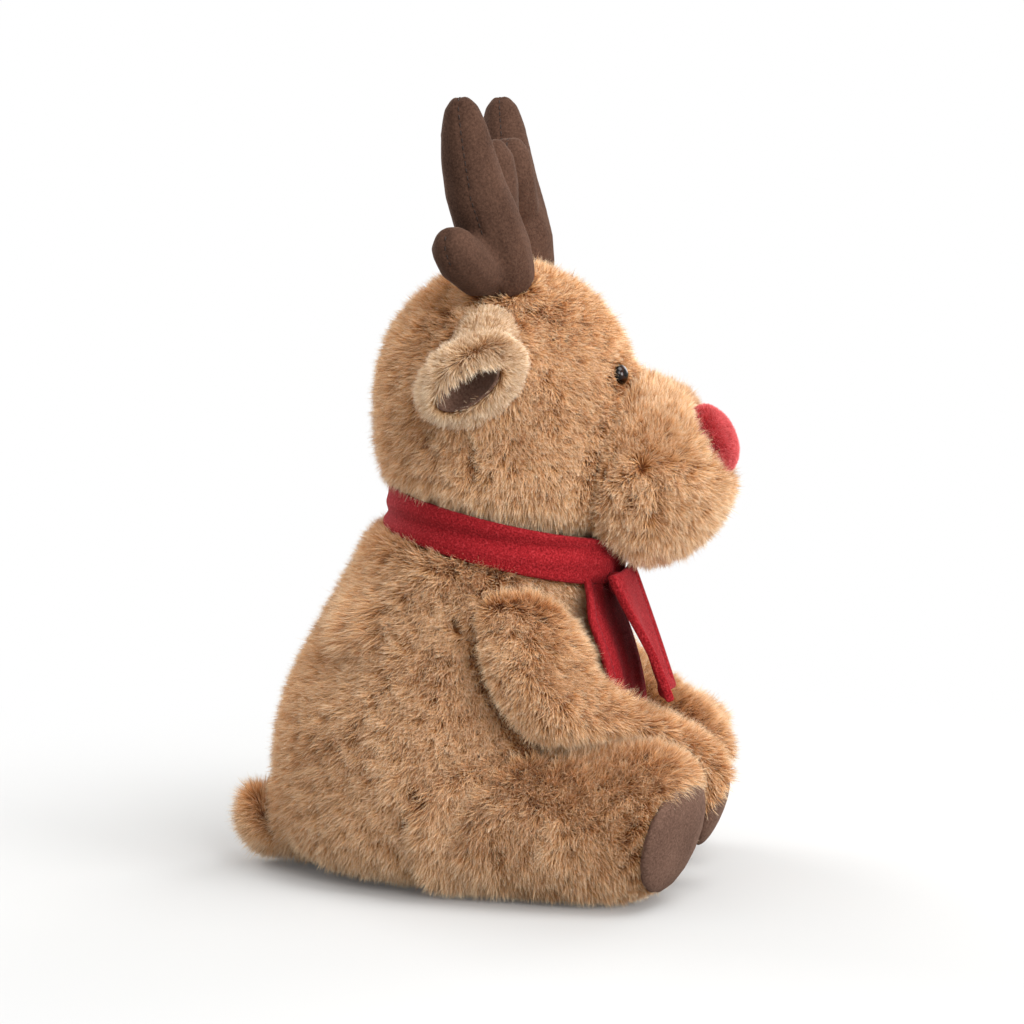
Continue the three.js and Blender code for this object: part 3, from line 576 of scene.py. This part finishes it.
# %% Places and combs
NECK_POINT = np.array([0, -5.5, 126]) * MM
NECK_TILT = radians(12.2)
NECK_AXIS = np.array([0, -sin(NECK_TILT), cos(NECK_TILT)])
COLLAR_RADIUS = 47.2 * MM
COLLAR_BAND = 17.6 * MM
PILE = 4.2  # how high the pile stands on the body, head and limbs, in millimetres
EAR_PILE = 2.6
HAIRS = {  # each skin's hairs, before the covered ones are left out, and their length in millimetres
    "body": (560000, 6.7), "head": (290000, 6.7), "muzzle": (125000, 6.7), "nose": (42000, 1.5),
    "arm": (66000, 6.7), "leg": (118000, 7.37), "ear": (50000, 4.5), "tail": (20000, 9),
}
SPLIT = -12 * MM  # where the body's front pile ends, along y
CHEEK = np.array([38, -68, 159]) * MM
EAR_CREST = np.array([69, -6, 202]) * MM
EAR_CUP = np.array([69, -3, 193]) * MM
EAR_OVER = np.array([0, 0.545, 0.838])  # from the cup's middle towards its upper edge
EYE = np.array([17.5, -55.5, 196]) * MM
ANTLER_ROOT = np.array([23, 12, 222]) * MM  # its distances from the middle planes
SEAM_TOP = (-2, 176)  # the head's side seam: along y and up z, in millimetres
SEAM_END = (-5, 152)


def above_neck(points):
    """Height above the collar's lower edge, and distance from the neck's axis."""
    offset = points - NECK_POINT
    height = offset @ NECK_AXIS
    return height, lengths(offset - height[:, None] * NECK_AXIS)


def from_place(points, place):
    """The way to each point from a place, or from its mirror image on the deer's other side."""
    return points - place * np.where(points[:, :1] < 0, [-1.0, 1, 1], [1.0, 1, 1])


def comb_down(points, normals):
    return np.tile([0.0, 0.1, -1.0], (len(points), 1)) + 0.25 * normals


def stray(points):
    """A direction that changes over about a centimetre, which keeps partings from looking drawn."""
    return np.stack([wander(points, 9 * MM, 90 + axis) for axis in range(3)], axis=1)


def comb_head(points, normals):
    return comb_down(points, normals) + 0.45 * stray(points)


def comb_from(centre, loose=0.0):
    """Combs away from a place and from its mirror image. A loose comb has no sharp middle."""
    return lambda points, normals: from_place(points, centre) + loose * stray(points)


def comb_limb(hand, aim, start, end):
    """Combs away from the neck on a shoulder's top, then down, and towards the aim further forward."""
    aim = np.array(aim) * [hand, 1, 1]

    def comb(points, normals):
        top = rise(points[:, 2:] / MM, 98, 112)
        share = rise(-points[:, 1:2], start * MM, end * MM) * (1 - top)
        down = (1 - top) * np.array([0.0, 0.1, -1.0]) + top * np.array([hand, -0.3, -0.3])
        return (1 - share) * down + share * aim

    return comb


# %% [markdown]
# ## The fur forms
# The body's and head's piles are split, to keep each mesh under two hundred thousand triangles. Pile that
# would lie under the collar, a sole, an eye or an antler is left out, as those are sewn tight to the cloth.

# %% Body
LIMBS = [f"{limb}_{side}" for limb in ("arm", "leg") for side in SIDES]


def limb_reach(place):
    """Shoulders, and thighs behind, run on into the body with no crease. Elsewhere limbs stand clear."""
    shoulder = rise(place.z / MM, 100, 114)
    thigh = (1 - rise(place.z / MM, 46, 58)) * rise(place.y / MM, -8, 4)
    return 2.5 + 6.5 * max(shoulder, thigh)


def limb_crease(points):
    """The arms are drawn in at their seams. At the seat the pile is longer, and hides the thighs' seams."""
    _, y, z = points.T / MM
    seat = (1 - rise(z, 46, 56)) * rise(y, -40, -20)
    return rise(z, 50, 62) * (1 - rise(z, 100, 116)) - 0.5 * seat


def shoulder_puff(place, normal):
    """The shoulder and the upper arm's outer and rear side are stuffed full, and stand out."""
    front = rise(0.6 * normal.z - 0.8 * normal.y, 0.1, 0.6)
    full = rise(place.z / MM, 56, 76)
    return 0.97 * full * (1 - front * (1 - rise(place.z / MM, 84, 100)))


def dress(node, body, material=fur_backing, slot="tan_plush", fill=0.75, inset=PILE, **options):
    """A stuffed skin of one cloth, standing for its solid."""
    piece = skin(node, inset, **options)
    piece.data.materials.append(material)
    return attach(piece, body, node)


body_skin = dress("body", "torso", beside=LIMBS + ["tail"], reach=limb_reach)


def below_collar(points):
    height, _ = above_neck(points)
    return height < -0.3 * MM


def body_share(points):
    """The pile is longer in the hollow between the shoulder and the scarf's tails, and behind each thigh."""
    hollow = lengths(np.abs(points) / MM - [40, 45, 103])
    thigh = lengths(np.abs(points) / MM - [62, 19, 44]) + 100 * (points[:, 1] < 0)
    return 1 + 1.1 * (1 - rise(hollow, 5, 19)) + 0.4 * (1 - rise(thigh, 6, 15))


for letter, part in (
    ("a", lambda p: p[:, 1] < SPLIT),
    ("b", lambda p: (p[:, 1] >= SPLIT) & (p[:, 0] < 0)),
    ("c", lambda p: (p[:, 1] >= SPLIT) & (p[:, 0] >= 0)),
):
    grow_fur(
        body_skin, "torso", f"body_fur_{letter}", comb_down, 11, kept=(part, below_collar),
        crease=limb_crease, pressed_shade_reach=3.2, share=body_share, furred=LIMBS + ["tail"],
        bare=["scarf_chest_tail"],
    )

# %% Head
HEAD_NEIGHBOURS = ["muzzle"] + [f"{piece}_{side}" for piece in ("ear", "antler", "eye") for side in SIDES]
EAR_SOCKETS = [Vector((hand * 29.3, -8, 206.3)) * MM for hand in SIDES.values()]
head_skin = dress(
    "head", HEAD, beside=HEAD_NEIGHBOURS, reach=lambda place: 5, plugs=EAR_SOCKETS,
    plug_radius=12.5 * MM,
)


def head_kept(points):
    """No hair grows inside the collar, or where the eyes are."""
    height, radius = above_neck(points)
    inside = (height < COLLAR_BAND - MM) & (radius < COLLAR_RADIUS - 3 * MM)
    return ~inside & (lengths(from_place(points, EYE)) > 4.5 * MM)


def head_hang(points):
    """Next to the collar the pile hangs straight down over its upper edge."""
    height, radius = above_neck(points)
    outward = unit(points - NECK_POINT - height[:, None] * NECK_AXIS)
    share = 0.85 * (1 - rise(height, COLLAR_BAND + 2 * MM, COLLAR_BAND + 11 * MM))
    return share, unit(0.3 * outward - NECK_AXIS)


def head_share(points):
    """
    Hairs are clipped short round antlers and eyes, caught in the seam behind each cheek, and longer
    where they hang over the collar.
    """
    height, _ = above_neck(points)
    share = 1 + 0.35 * (1 - rise(height, COLLAR_BAND + MM, COLLAR_BAND + 8 * MM))
    share *= 0.88 + 0.12 * rise(lengths(np.abs(points) - ANTLER_ROOT), 14 * MM, 20 * MM)
    share *= 0.4 + 0.6 * rise(lengths(from_place(points, EYE)), 6 * MM, 13 * MM)
    _, y, z = points.T / MM
    (top_y, top_z), (end_y, end_z) = SEAM_TOP, SEAM_END
    seam = top_y + (top_z - z) * (end_y - top_y) / (top_z - end_z)
    away = np.abs(y - seam) + 0.25 * np.maximum(0, z - top_z)
    away += 0.5 * np.maximum(0, end_z + 9 - z)
    return share * (0.32 + 0.68 * np.maximum(rise(away, 0.8, 3.6), z > top_z + 6))


def head_lie(points):
    """The pile lies flatter over the forehead, where its pale tips cover all the rest."""
    _, y, z = points.T / MM
    return 1 + 0.4 * rise(z, 178, 202) * rise(-y, -5, 15)


def cheek_crease(points):
    """The muzzle's seam draws the pile in where it crosses the cheeks."""
    _, y, z = points.T / MM
    return 0.75 * rise(-y, 26, 36) * (1 - rise(z, 176, 190))


for side, part in (("right", lambda p: p[:, 0] < 0), ("left", lambda p: p[:, 0] >= 0)):
    grow_fur(
        head_skin, HEAD, f"head_fur_{side}", comb_head, 21,
        kept=(part, head_kept), share=head_share, hang=head_hang, even=head_lie, crease=cheek_crease,
        furred=["muzzle", f"ear_{side}"], bare=[f"antler_{side}", f"eye_{side}"],
    )

# %% Muzzle
muzzle_skin = dress("muzzle", HEAD, beside=["head"])


def whorl(points):
    """The pile stands a little steeper in the middle of each cheek."""
    return 0.85 + 0.15 * rise(lengths(from_place(points, CHEEK)), 0, 24 * MM)


grow_fur(
    muzzle_skin, HEAD, "muzzle_fur", comb_from(CHEEK, 19 * MM), 31, swirl=0.35,
    even=whorl, crease=cheek_crease, furred=["head"], bare=["nose"],
)

# %% Limbs, tail and ears
def foot_share(points):
    """Long over the toes, and clipped round the rest of the sole's edge."""
    x, y, z = points.T / MM
    inner = 1 - rise(np.abs(x), 44, 58)
    low = 1 - rise(z, 38, 52)
    return 1 + rise(-y, 52, 72) * (0.15 - 0.6 * np.maximum(inner, low))


def cup_edge(points):
    """How close a hair stands to the upper edge of the ear's cup, on its open side."""
    over = from_place(points, EAR_CUP) @ EAR_OVER
    open_side = rise(np.abs(points[:, 0]) / MM, 62, 67)
    return open_side * rise(over / MM, 2, 6) * (1 - rise(over / MM, 9, 13))


def ear_hang(points):
    """The pile hangs over the upper edge of the cup."""
    outward = np.where(points[:, :1] < 0, [-0.8, 0, 0], [0.8, 0, 0])
    return 0.9 * cup_edge(points), unit(outward - EAR_OVER)


def ear_share(points):
    """Longer over the cup, and short where the ear's root touches the antler."""
    return 1 + 0.5 * cup_edge(points) - 0.35 * rise(points[:, 2] / MM, 205, 211)


def fur_form(node, body, comb, seed, furred, bare=(), cloth=(), **pile):
    """A form and its pile, which mind the same neighbours."""
    base = dress(node, body, beside=[*furred, *bare], **dict(cloth))
    grow_fur(base, body, f"{node}_fur", comb, seed, furred=furred, bare=bare, **pile)


for side, hand in SIDES.items():
    fur_form(
        f"arm_{side}", f"{side}_arm", comb_limb(hand, (0.25, -0.7, -0.7), 15, 50), 41 + hand,
        ["body"], [f"paw_pad_{side}"], {"reach": limb_reach, "puff": shoulder_puff}, crease=limb_crease,
    )
    fur_form(
        f"leg_{side}", f"{side}_leg", comb_limb(hand, (0.45, -1, -0.25), -5, 45), 51 + hand,
        ["body"], [f"foot_pad_{side}"], {"reach": lambda place: 6}, share=foot_share, crease=limb_crease,
    )
    fur_form(
        f"ear_{side}", f"{side}_ear", comb_from(EAR_CREST), 61 + hand, ["head"],
        [f"ear_lining_{side}"], {"inset": EAR_PILE, "net": 1.3, "smooth": 3, "reach": lambda place: 3},
        swirl=0.3, lean=0.8, width=0.15, tuft=1.4, hang=ear_hang, share=ear_share, material=ear_pile,
    )
fur_form("tail", "tail_tuft", lambda p, n: np.tile([0.0, 1.0, -0.5], (len(p), 1)), 71, ["body"])

# %% [markdown]
# ## Nose
# A ball of red velour, stuffed hard. Its pile is short and stands almost upright, so that the nose looks
# soft at its edge and nearly smooth across its face.

# %% Nose
nose_skin = dress("nose", HEAD, nose_backing, "red_nose_plush", fill=0.9, inset=1.0, net=1.2, smooth=6)
grow_fur(
    nose_skin, HEAD, "nose_pile", comb_down, 81, lean=0.45, stiff=1.2,
    width=0.14, tuft=0.8, pull=0.15, mottle=0.2, bare=["muzzle"], material=nose_pile,
    slot="red_nose_plush",
)

# %% [markdown]
# ## Suede
# The antlers, ear linings and pads are microsuede: a polyester knit whose nap is sanded to a velvety
# half millimetre. It has no gloss, a fine mottle where the nap lies in different ways, and a pale bloom
# where one looks along it.


# %% Napped cloth
def napped_material(name, stops, broad, share, fine, bump, bloom, whole):
    """
    A cloth with a nap. A fine pattern and a share of a broad one give its colour, and the fine one or
    the whole its relief.
    """
    material, tree, shader = new_material(name, {"Roughness": 0.95, **bloom})
    broad = texture(tree, *broad)
    fine = texture(tree, *fine)
    both = add_node(tree, "Math", {"operation": "MULTIPLY_ADD"}, {1: share}, {
        0: broad.outputs[0], 2: fine.outputs[0],
    })
    paint(tree, shader, both.outputs[0], stops, bump, both.outputs[0] if whole else fine.outputs[0])
    return material


# %% Suede pieces
SUEDE = {
    "broad": ("TexNoise", {"Scale": 55, "Detail": 3}), "share": 0.45,
    "fine": ("TexNoise", {"Scale": 1100, "Detail": 3, "Roughness": 0.7}),
    "bump": (0.5, 0.4 * MM), "whole": False, "bloom": {
        "Specular IOR Level": 0.1, "Sheen Weight": 0.18, "Sheen Roughness": 0.35,
        "Sheen Tint": linear("#B79A86"),
    },
}
suede = napped_material("brown_microsuede", [(0.45, "#35231B"), (0.95, "#5E4437")], **SUEDE)
pad_suede = napped_material("pad_microsuede", [(0.45, "#4A342B"), (0.95, "#7A5E50")], **SUEDE)

for side in SIDES:
    for node, body, material, net, smooth in (
        ("antler", HEAD, suede, 1.0, 14),
        ("ear_lining", f"{side}_ear", pad_suede, 0.7, 3),
        ("paw_pad", f"{side}_arm", pad_suede, 1.0, 6),
        ("foot_pad", f"{side}_leg", pad_suede, 1.2, 6),
    ):
        dress(f"{node}_{side}", body, material, "brown_suede", fill=0.8, inset=0, net=net, smooth=smooth)

# %% [markdown]
# ## Antler seams
# Each antler is two flat panels sewn round and turned, so its seam runs up the outer edge, over every
# tip and down the other side. A seam pulls the cloth in, and its stitches show as a row of dashes. The
# rows are found by looking at the antler from outside, towards each branch's middle line.

# %% Branches of an antler
THREAD = 0.22 * MM
STITCH = 1.7 * MM
BRANCHES = {
    "beam": [(23, -12, 222), (30, -8.5, 243), (42, -1.6, 268), (50, 2.5, 299)],
    "outer": [(36, -4, 239), (61, 5.5, 249)],
    "inner": [(36, -7, 262), (23.5, -5, 283)],
}


def along_path(points, share):
    """A point along a path of straight stretches, and the way the path runs there."""
    points = [Vector(point) * MM for point in points]
    spans = [(b - a).length for a, b in zip(points, points[1:])]
    left = share * sum(spans)
    for start, end, length in zip(points, points[1:], spans):
        if left <= length or end is points[-1]:
            return start.lerp(end, min(1.0, left / length)), (end - start).normalized()
        left -= length


def seam_round(tree, points, room):
    """Where the seam runs round one branch: up its outer edge, over its tip and down again."""
    found = []
    walk = [(0, i / 60) for i in range(61)] + [(a, 1) for a in np.linspace(0, pi, 25)]
    walk += [(pi, 1 - i / 60) for i in range(61)]
    for angle, share in walk:
        middle, way = along_path(points, share)
        side = way.cross(Vector((0, 1, 0))).normalized()
        out = side * cos(angle) + way * sin(angle)
        place, normal, _, _ = tree.ray_cast(middle + out * 0.05, -out)
        hit = place is not None and (place - middle).length < room * MM
        found.append((place, normal) if hit else None)
    return found


def stitch_row(name, row, material, pitch=2.6 * MM):
    """Short threads laid end to end along a row of places on a cloth, every other gap left bare."""
    bpy.ops.mesh.primitive_cylinder_add(vertices=6, radius=THREAD, depth=STITCH)
    pattern = bpy.context.object
    shape = [v.co.copy() for v in pattern.data.vertices]
    faces = [tuple(p.vertices) for p in pattern.data.polygons]
    bpy.data.objects.remove(pattern)
    verts, polygons, walked = [], [], 0.0
    for first, second in zip(row, row[1:]):
        if first is None or second is None:
            continue
        step = second[0] - first[0]
        walked += step.length
        if walked < pitch or step.length < 1e-6:
            continue
        walked = 0.0
        turn = step.to_track_quat("Z", "Y")
        start = len(verts)
        verts += [first[0] + first[1] * 0.05 * MM + turn @ corner for corner in shape]
        polygons += [tuple(start + i for i in face) for face in faces]
    mesh = bpy.data.meshes.new(name)
    mesh.from_pydata(verts, [], polygons)
    mesh.shade_smooth()
    print(name, "stitches", len(polygons) // len(faces))
    return add_piece(name, mesh, material)


def press_seam(piece, row, depth, reach):
    """Pulls the cloth in along a seam."""
    places = np.array([found[0] for found in row if found is not None])
    for vertex in piece.data.vertices:
        gap = lengths(places - np.array(vertex.co)).min()
        if gap < reach:
            vertex.co -= vertex.normal * depth * (1 - gap / reach)


# %% Sew the antlers
SPUN = {"scale": 4000, "detail": 1, "roughness": 0.7}  # polyester thread: a fine twist, hardly any gloss
brown_thread = grained_material("brown_thread", "#221510", "#37251C", **SPUN)
red_thread = grained_material("red_thread", "#6E0F18", "#8E1722", **SPUN)

for side, hand in SIDES.items():
    piece = bpy.data.objects[f"antler_{side}_skin"]
    tree = faces_tree(piece.data)
    row = []
    for branch, points in BRANCHES.items():
        own = [(hand * x, y, z) for x, y, z in points]
        row += seam_round(tree, own, 14 if branch == "beam" else 11) + [None]
    press_seam(piece, row, 0.55 * MM, 1.7 * MM)
    sunk = [None if found is None else (found[0] - found[1] * 0.4 * MM, found[1]) for found in row]
    attach(stitch_row(f"antler_{side}_stitches", sunk, brown_thread), HEAD)

# %% [markdown]
# ## Scarf
# Red fleece: a knit brushed on both faces. The collar is one strip folded lengthwise, so it is two
# layers deep with the fold at its lower edge. The two tails come out from under the knot. Each cloth is
# made from its middle surface, worked out by a formula, and a thickness is given to it after.


# %% Cloth from a formula
fleece = napped_material(
    "red_fleece", [(0.45, "#690C12"), (0.75, "#921A20"), (1.0, "#AB3035")],
    ("TexVoronoi", {"Scale": 1700}, {"feature": "SMOOTH_F1"}), 0.55,
    ("TexNoise", {"Scale": 1300, "Detail": 3, "Roughness": 0.6}), (0.7, 0.5 * MM), {
        "Specular IOR Level": 0.15, "Sheen Weight": 0.15, "Sheen Roughness": 0.4,
        "Sheen Tint": linear("#E8848C"),
    }, whole=True,
)


def cloth_face(middle, thickness, side, u, v):
    """A place on one face of a cloth, and the way that the face looks there."""
    nudge = 1e-3
    along = middle(u + nudge, v) - middle(u - nudge, v)
    across = middle(u, v + nudge) - middle(u, v - nudge)
    normal = along.cross(across).normalized() * side
    return middle(u, v) + normal * thickness(u, v) / 2, normal


def cloth_from(name, middle, thickness, long_steps, wide_steps):
    """A closed sheet of cloth. Its middle and thickness are functions of the way along and across it."""
    net = [(i / long_steps, j / wide_steps) for i in range(long_steps + 1) for j in range(wide_steps + 1)]
    places = [cloth_face(middle, thickness, side, u, v)[0] for side in (1, -1) for u, v in net]
    row = wide_steps + 1
    back = (long_steps + 1) * row
    corners = [i * row + j for i in range(long_steps) for j in range(wide_steps)]
    faces = [(a, a + row, a + row + 1, a + 1) for a in corners]
    faces += [(back + a, back + a + 1, back + a + row + 1, back + a + row) for a in corners]
    edge = [i * row for i in range(long_steps)] + list(range(long_steps * row, back - 1))
    edge += [i * row + wide_steps for i in range(long_steps, 0, -1)] + list(range(wide_steps, 0, -1))
    faces += [(a, b, back + b, back + a) for a, b in zip(edge, edge[1:] + edge[:1])]
    mesh = bpy.data.meshes.new(name)
    mesh.from_pydata(places, [], faces)
    piece = add_piece(name, mesh, fleece)
    face_outward(piece)
    with_modifier(piece, "SUBSURF", levels=1, render_levels=1)
    piece.data.shade_smooth()
    return piece


# %% Collar
CLOTH = 1.15  # thickness of the fleece, in millimetres
BAND_END = radians(253)  # round the neck from the deer's left, where the band's end shows
OVERLAP = radians(14)
NECK_SIDE = Vector((1, 0, 0))
NECK_UP = Vector(NECK_AXIS)
NECK_BACK = NECK_UP.cross(NECK_SIDE)
FOLD_RADIUS = 0.75


def collar_middle(u, v):
    """Up the inside of the band, which v folds over at its lower edge, and round the neck with u."""
    angle = BAND_END - u * (2 * pi + OVERLAP)
    low, high = 0.9 + FOLD_RADIUS, COLLAR_BAND / MM - 0.6
    run = high - low
    turn = pi * FOLD_RADIUS
    walked = v * (2 * run + turn)
    if walked < run:
        height, out = high - walked, FOLD_RADIUS
    elif walked < run + turn:
        bend = (walked - run) / FOLD_RADIUS
        height, out = low - FOLD_RADIUS * sin(bend), FOLD_RADIUS * cos(bend)
    else:
        height, out = low + walked - run - turn, -FOLD_RADIUS
    outer = (out / FOLD_RADIUS + 1) / 2
    wave = sin(height / 2.6 + 1.6 * sin(angle) + 0.8) + 0.6 * sin(height / 1.3 - 3 * angle)
    folds = 1.05 * outer * wave * sin(pi * min(1, max(0, (height - 1) / 16)))
    lap = rise(1 - u, 0, radians(24) / (2 * pi))
    radius = COLLAR_RADIUS / MM - 1.35 + out + folds - 2.2 * (1 - lap)
    around = cos(angle) * NECK_SIDE + sin(angle) * NECK_BACK
    droop = 1.1 * (1 - sin(angle)) * (1 - height / 24)
    return Vector(NECK_POINT) + (around * radius + NECK_UP * (height - droop)) * MM


collar = cloth_from("scarf_collar_cloth", collar_middle, lambda u, v: CLOTH * MM, 150, 40)
attach(collar, "torso", "scarf_collar")

# %% Knot and tails
SCARF_WIDTH = 37
SCARF_ASIDE = -16.5
HEM = 0.12  # share of a tail's width that its hem takes up on each side
CHEST_ASIDE = -20
GATHERED = 9  # how much narrower the chest tail is where it leaves the knot
KNOT_SIZE = (0.66, 0.84, 0.8)  # tied tight, as shares of its solid's width, depth and height


def chest_middle(u, v):
    """From under the collar, gathered by the knot, down the belly's curve in folds that open out."""
    gathered = 1 - rise(u, 0, 0.32)
    across = CHEST_ASIDE + SCARF_WIDTH / 2 - (1 - v) * (SCARF_WIDTH - GATHERED * gathered)
    fold = 0.8 * sin(3 * pi * v) * u + 0.35 * sin(7 * pi * v + 4 * u) * u
    fold += 0.5 * gathered * sin(6 * pi * v)
    forward = 45.5 + 16 * sin(pi / 2 * u) - across ** 2 / 190 + fold
    return Vector((across, -forward, 120 - 56 * u)) * MM


FREE_TOP = Vector((SCARF_ASIDE, -55.2, 121.5))
FREE_END = Vector((SCARF_ASIDE, -72, 73.5))


def free_middle(u, v):
    """Hangs from the knot, its long edges curling forward and its length a little twisted."""
    across = (v - 0.5) * SCARF_WIDTH
    curl = 1.6 * cos(2 * pi * v) * sin(pi / 2 * u)
    back = 3.4 * (1 - u) * (1 - v) ** 5 * sin(pi * min(1, u + 0.35))
    twist = (0.6 - 3.6 * u) * (0.5 - v)
    offset = Vector((across, back + twist - curl, 1.0 * (0.5 - v) * u))
    return (FREE_TOP.lerp(FREE_END, u) + offset) * MM


def hemmed(flat, rolled):
    """The cloth's thickness: its hems are rolled over, and pressed thin where they are stitched."""
    def thickness(u, v):
        edge = min(v, 1 - v, (1 - u) * 1.15)
        if edge < HEM * 0.8:
            return (rolled - (rolled - flat) * 0.25 * (edge / HEM) ** 2) * MM
        return (flat - 0.45 * exp(-((edge - HEM) / 0.018) ** 2)) * MM
    return thickness


def hem_row(middle, thickness, side, v):
    """Places along a hem's stitching, on one face of a tail."""
    return [cloth_face(middle, thickness, side, i / 60 * 0.9, v) for i in range(8, 60)]


for name, middle, thickness, wide_steps, body, length, rests in (
    ("scarf_chest", chest_middle, hemmed(1.5, 2.2), 44, "torso", 60, "body"),
    ("scarf_free", free_middle, hemmed(2.0, 3.3), 52, "hanging_scarf_tail", 51, "scarf_knot"),
):
    piece = cloth_from(f"{name}_cloth", middle, thickness, 34, wide_steps)
    attach(piece, body, f"{name}_tail")
    for end, v in (("near", HEM), ("far", 1 - HEM)):
        row = hem_row(middle, thickness, 1, v) + [None] + hem_row(middle, thickness, -1, v)
        stitches = stitch_row(f"{name}_{end}_stitches", row, red_thread, pitch=2.2 * MM)
        attach(stitches, body)

knot = dress("scarf_knot", "torso", fleece, "red_fleece", fill=0.8, inset=0, net=1.0, smooth=7)
to_knot = Matrix.Translation(Vector((-10.5, -52.7, 117)) * MM)
knot.data.transform(to_knot @ Matrix.Diagonal((*KNOT_SIZE, 1)) @ to_knot.inverted())

# %% [markdown]
# ## Eyes
# Safety eyes: a polished plastic dome with a dark brown iris, on a shank that a washer locks inside the
# head. The dome's map runs from its middle to its rim, and colours the iris.

# %% Eyes
eye_plastic, tree, shader = new_material("polished_eye_plastic", {
    "Roughness": 0.06, "Specular IOR Level": 0.32,
})
paint(tree, shader, own_map(tree).outputs["X"], [
    (0.0, "#050302"), (0.46, "#070403"), (0.52, "#2C1408"), (0.78, "#1C0C05"), (0.9, "#060403"),
])

EYE_RADIUS = 4.1 * MM
EYE_DOME = 3.4 * MM
HEAD_MIDDLE = Vector((0, -8, 184)) * MM

for side in SIDES:
    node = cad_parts[f"eye_{side}"]
    corners = read_all(node.data.vertices, "co")
    middle = Vector(corners.mean(axis=0))
    _, _, ways = np.linalg.svd(corners - corners.mean(axis=0), full_matrices=False)
    way = Vector(ways[0]).normalized()
    if way.dot(middle - HEAD_MIDDLE) < 0:
        way.negate()
    reach = max(Vector(corner).dot(way) for corner in corners)
    base = middle + way * (reach - 0.8 * MM - EYE_DOME - middle.dot(way))
    bpy.ops.mesh.primitive_uv_sphere_add(segments=40, ring_count=20, radius=EYE_RADIUS)
    eye = bpy.context.object
    eye.name = f"eye_{side}_dome"
    layer = eye.data.uv_layers.active
    layer.name = "OFBake"
    for loop in eye.data.loops:
        x, y, z = eye.data.vertices[loop.vertex_index].co
        radial = min(1.0, hypot(x, y) / EYE_RADIUS) if z > 0 else 1.0
        layer.data[loop.index].uv = (radial, atan2(y, x) / (2 * pi) % 1.0)
    for vertex in eye.data.vertices:
        vertex.co.z *= EYE_DOME / EYE_RADIUS if vertex.co.z > 0 else 0.2
    eye.data.transform(Matrix.Translation(base) @ way.to_track_quat("Z", "Y").to_matrix().to_4x4())
    eye.data.shade_smooth()
    eye.data.materials.append(eye_plastic)
    attach(eye, HEAD, f"eye_{side}")

# %% [markdown]
# ## What the cloth hides
# The lock washers and the pellet bag keep their solids, and get their own finish.

# %% Washers and pellet bag
washer_plastic = grained_material(
    "moulded_washer_plastic", "#DAD5C9", "#E8E4DA", 300, roughness=0.45, bump=(0.4, 0.1 * MM),
)
pellet_cloth = grained_material(
    "pellet_bag_cloth", "#C7BFAC", "#DDD6C6", 1500, roughness=0.9, bump=(0.4, 0.3 * MM),
)
for name, material in (
    ("eye_washer_right", washer_plastic), ("eye_washer_left", washer_plastic), ("pellet_bag", pellet_cloth),
):
    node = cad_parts[name]
    node.data.materials.clear()
    node.data.materials.append(material)
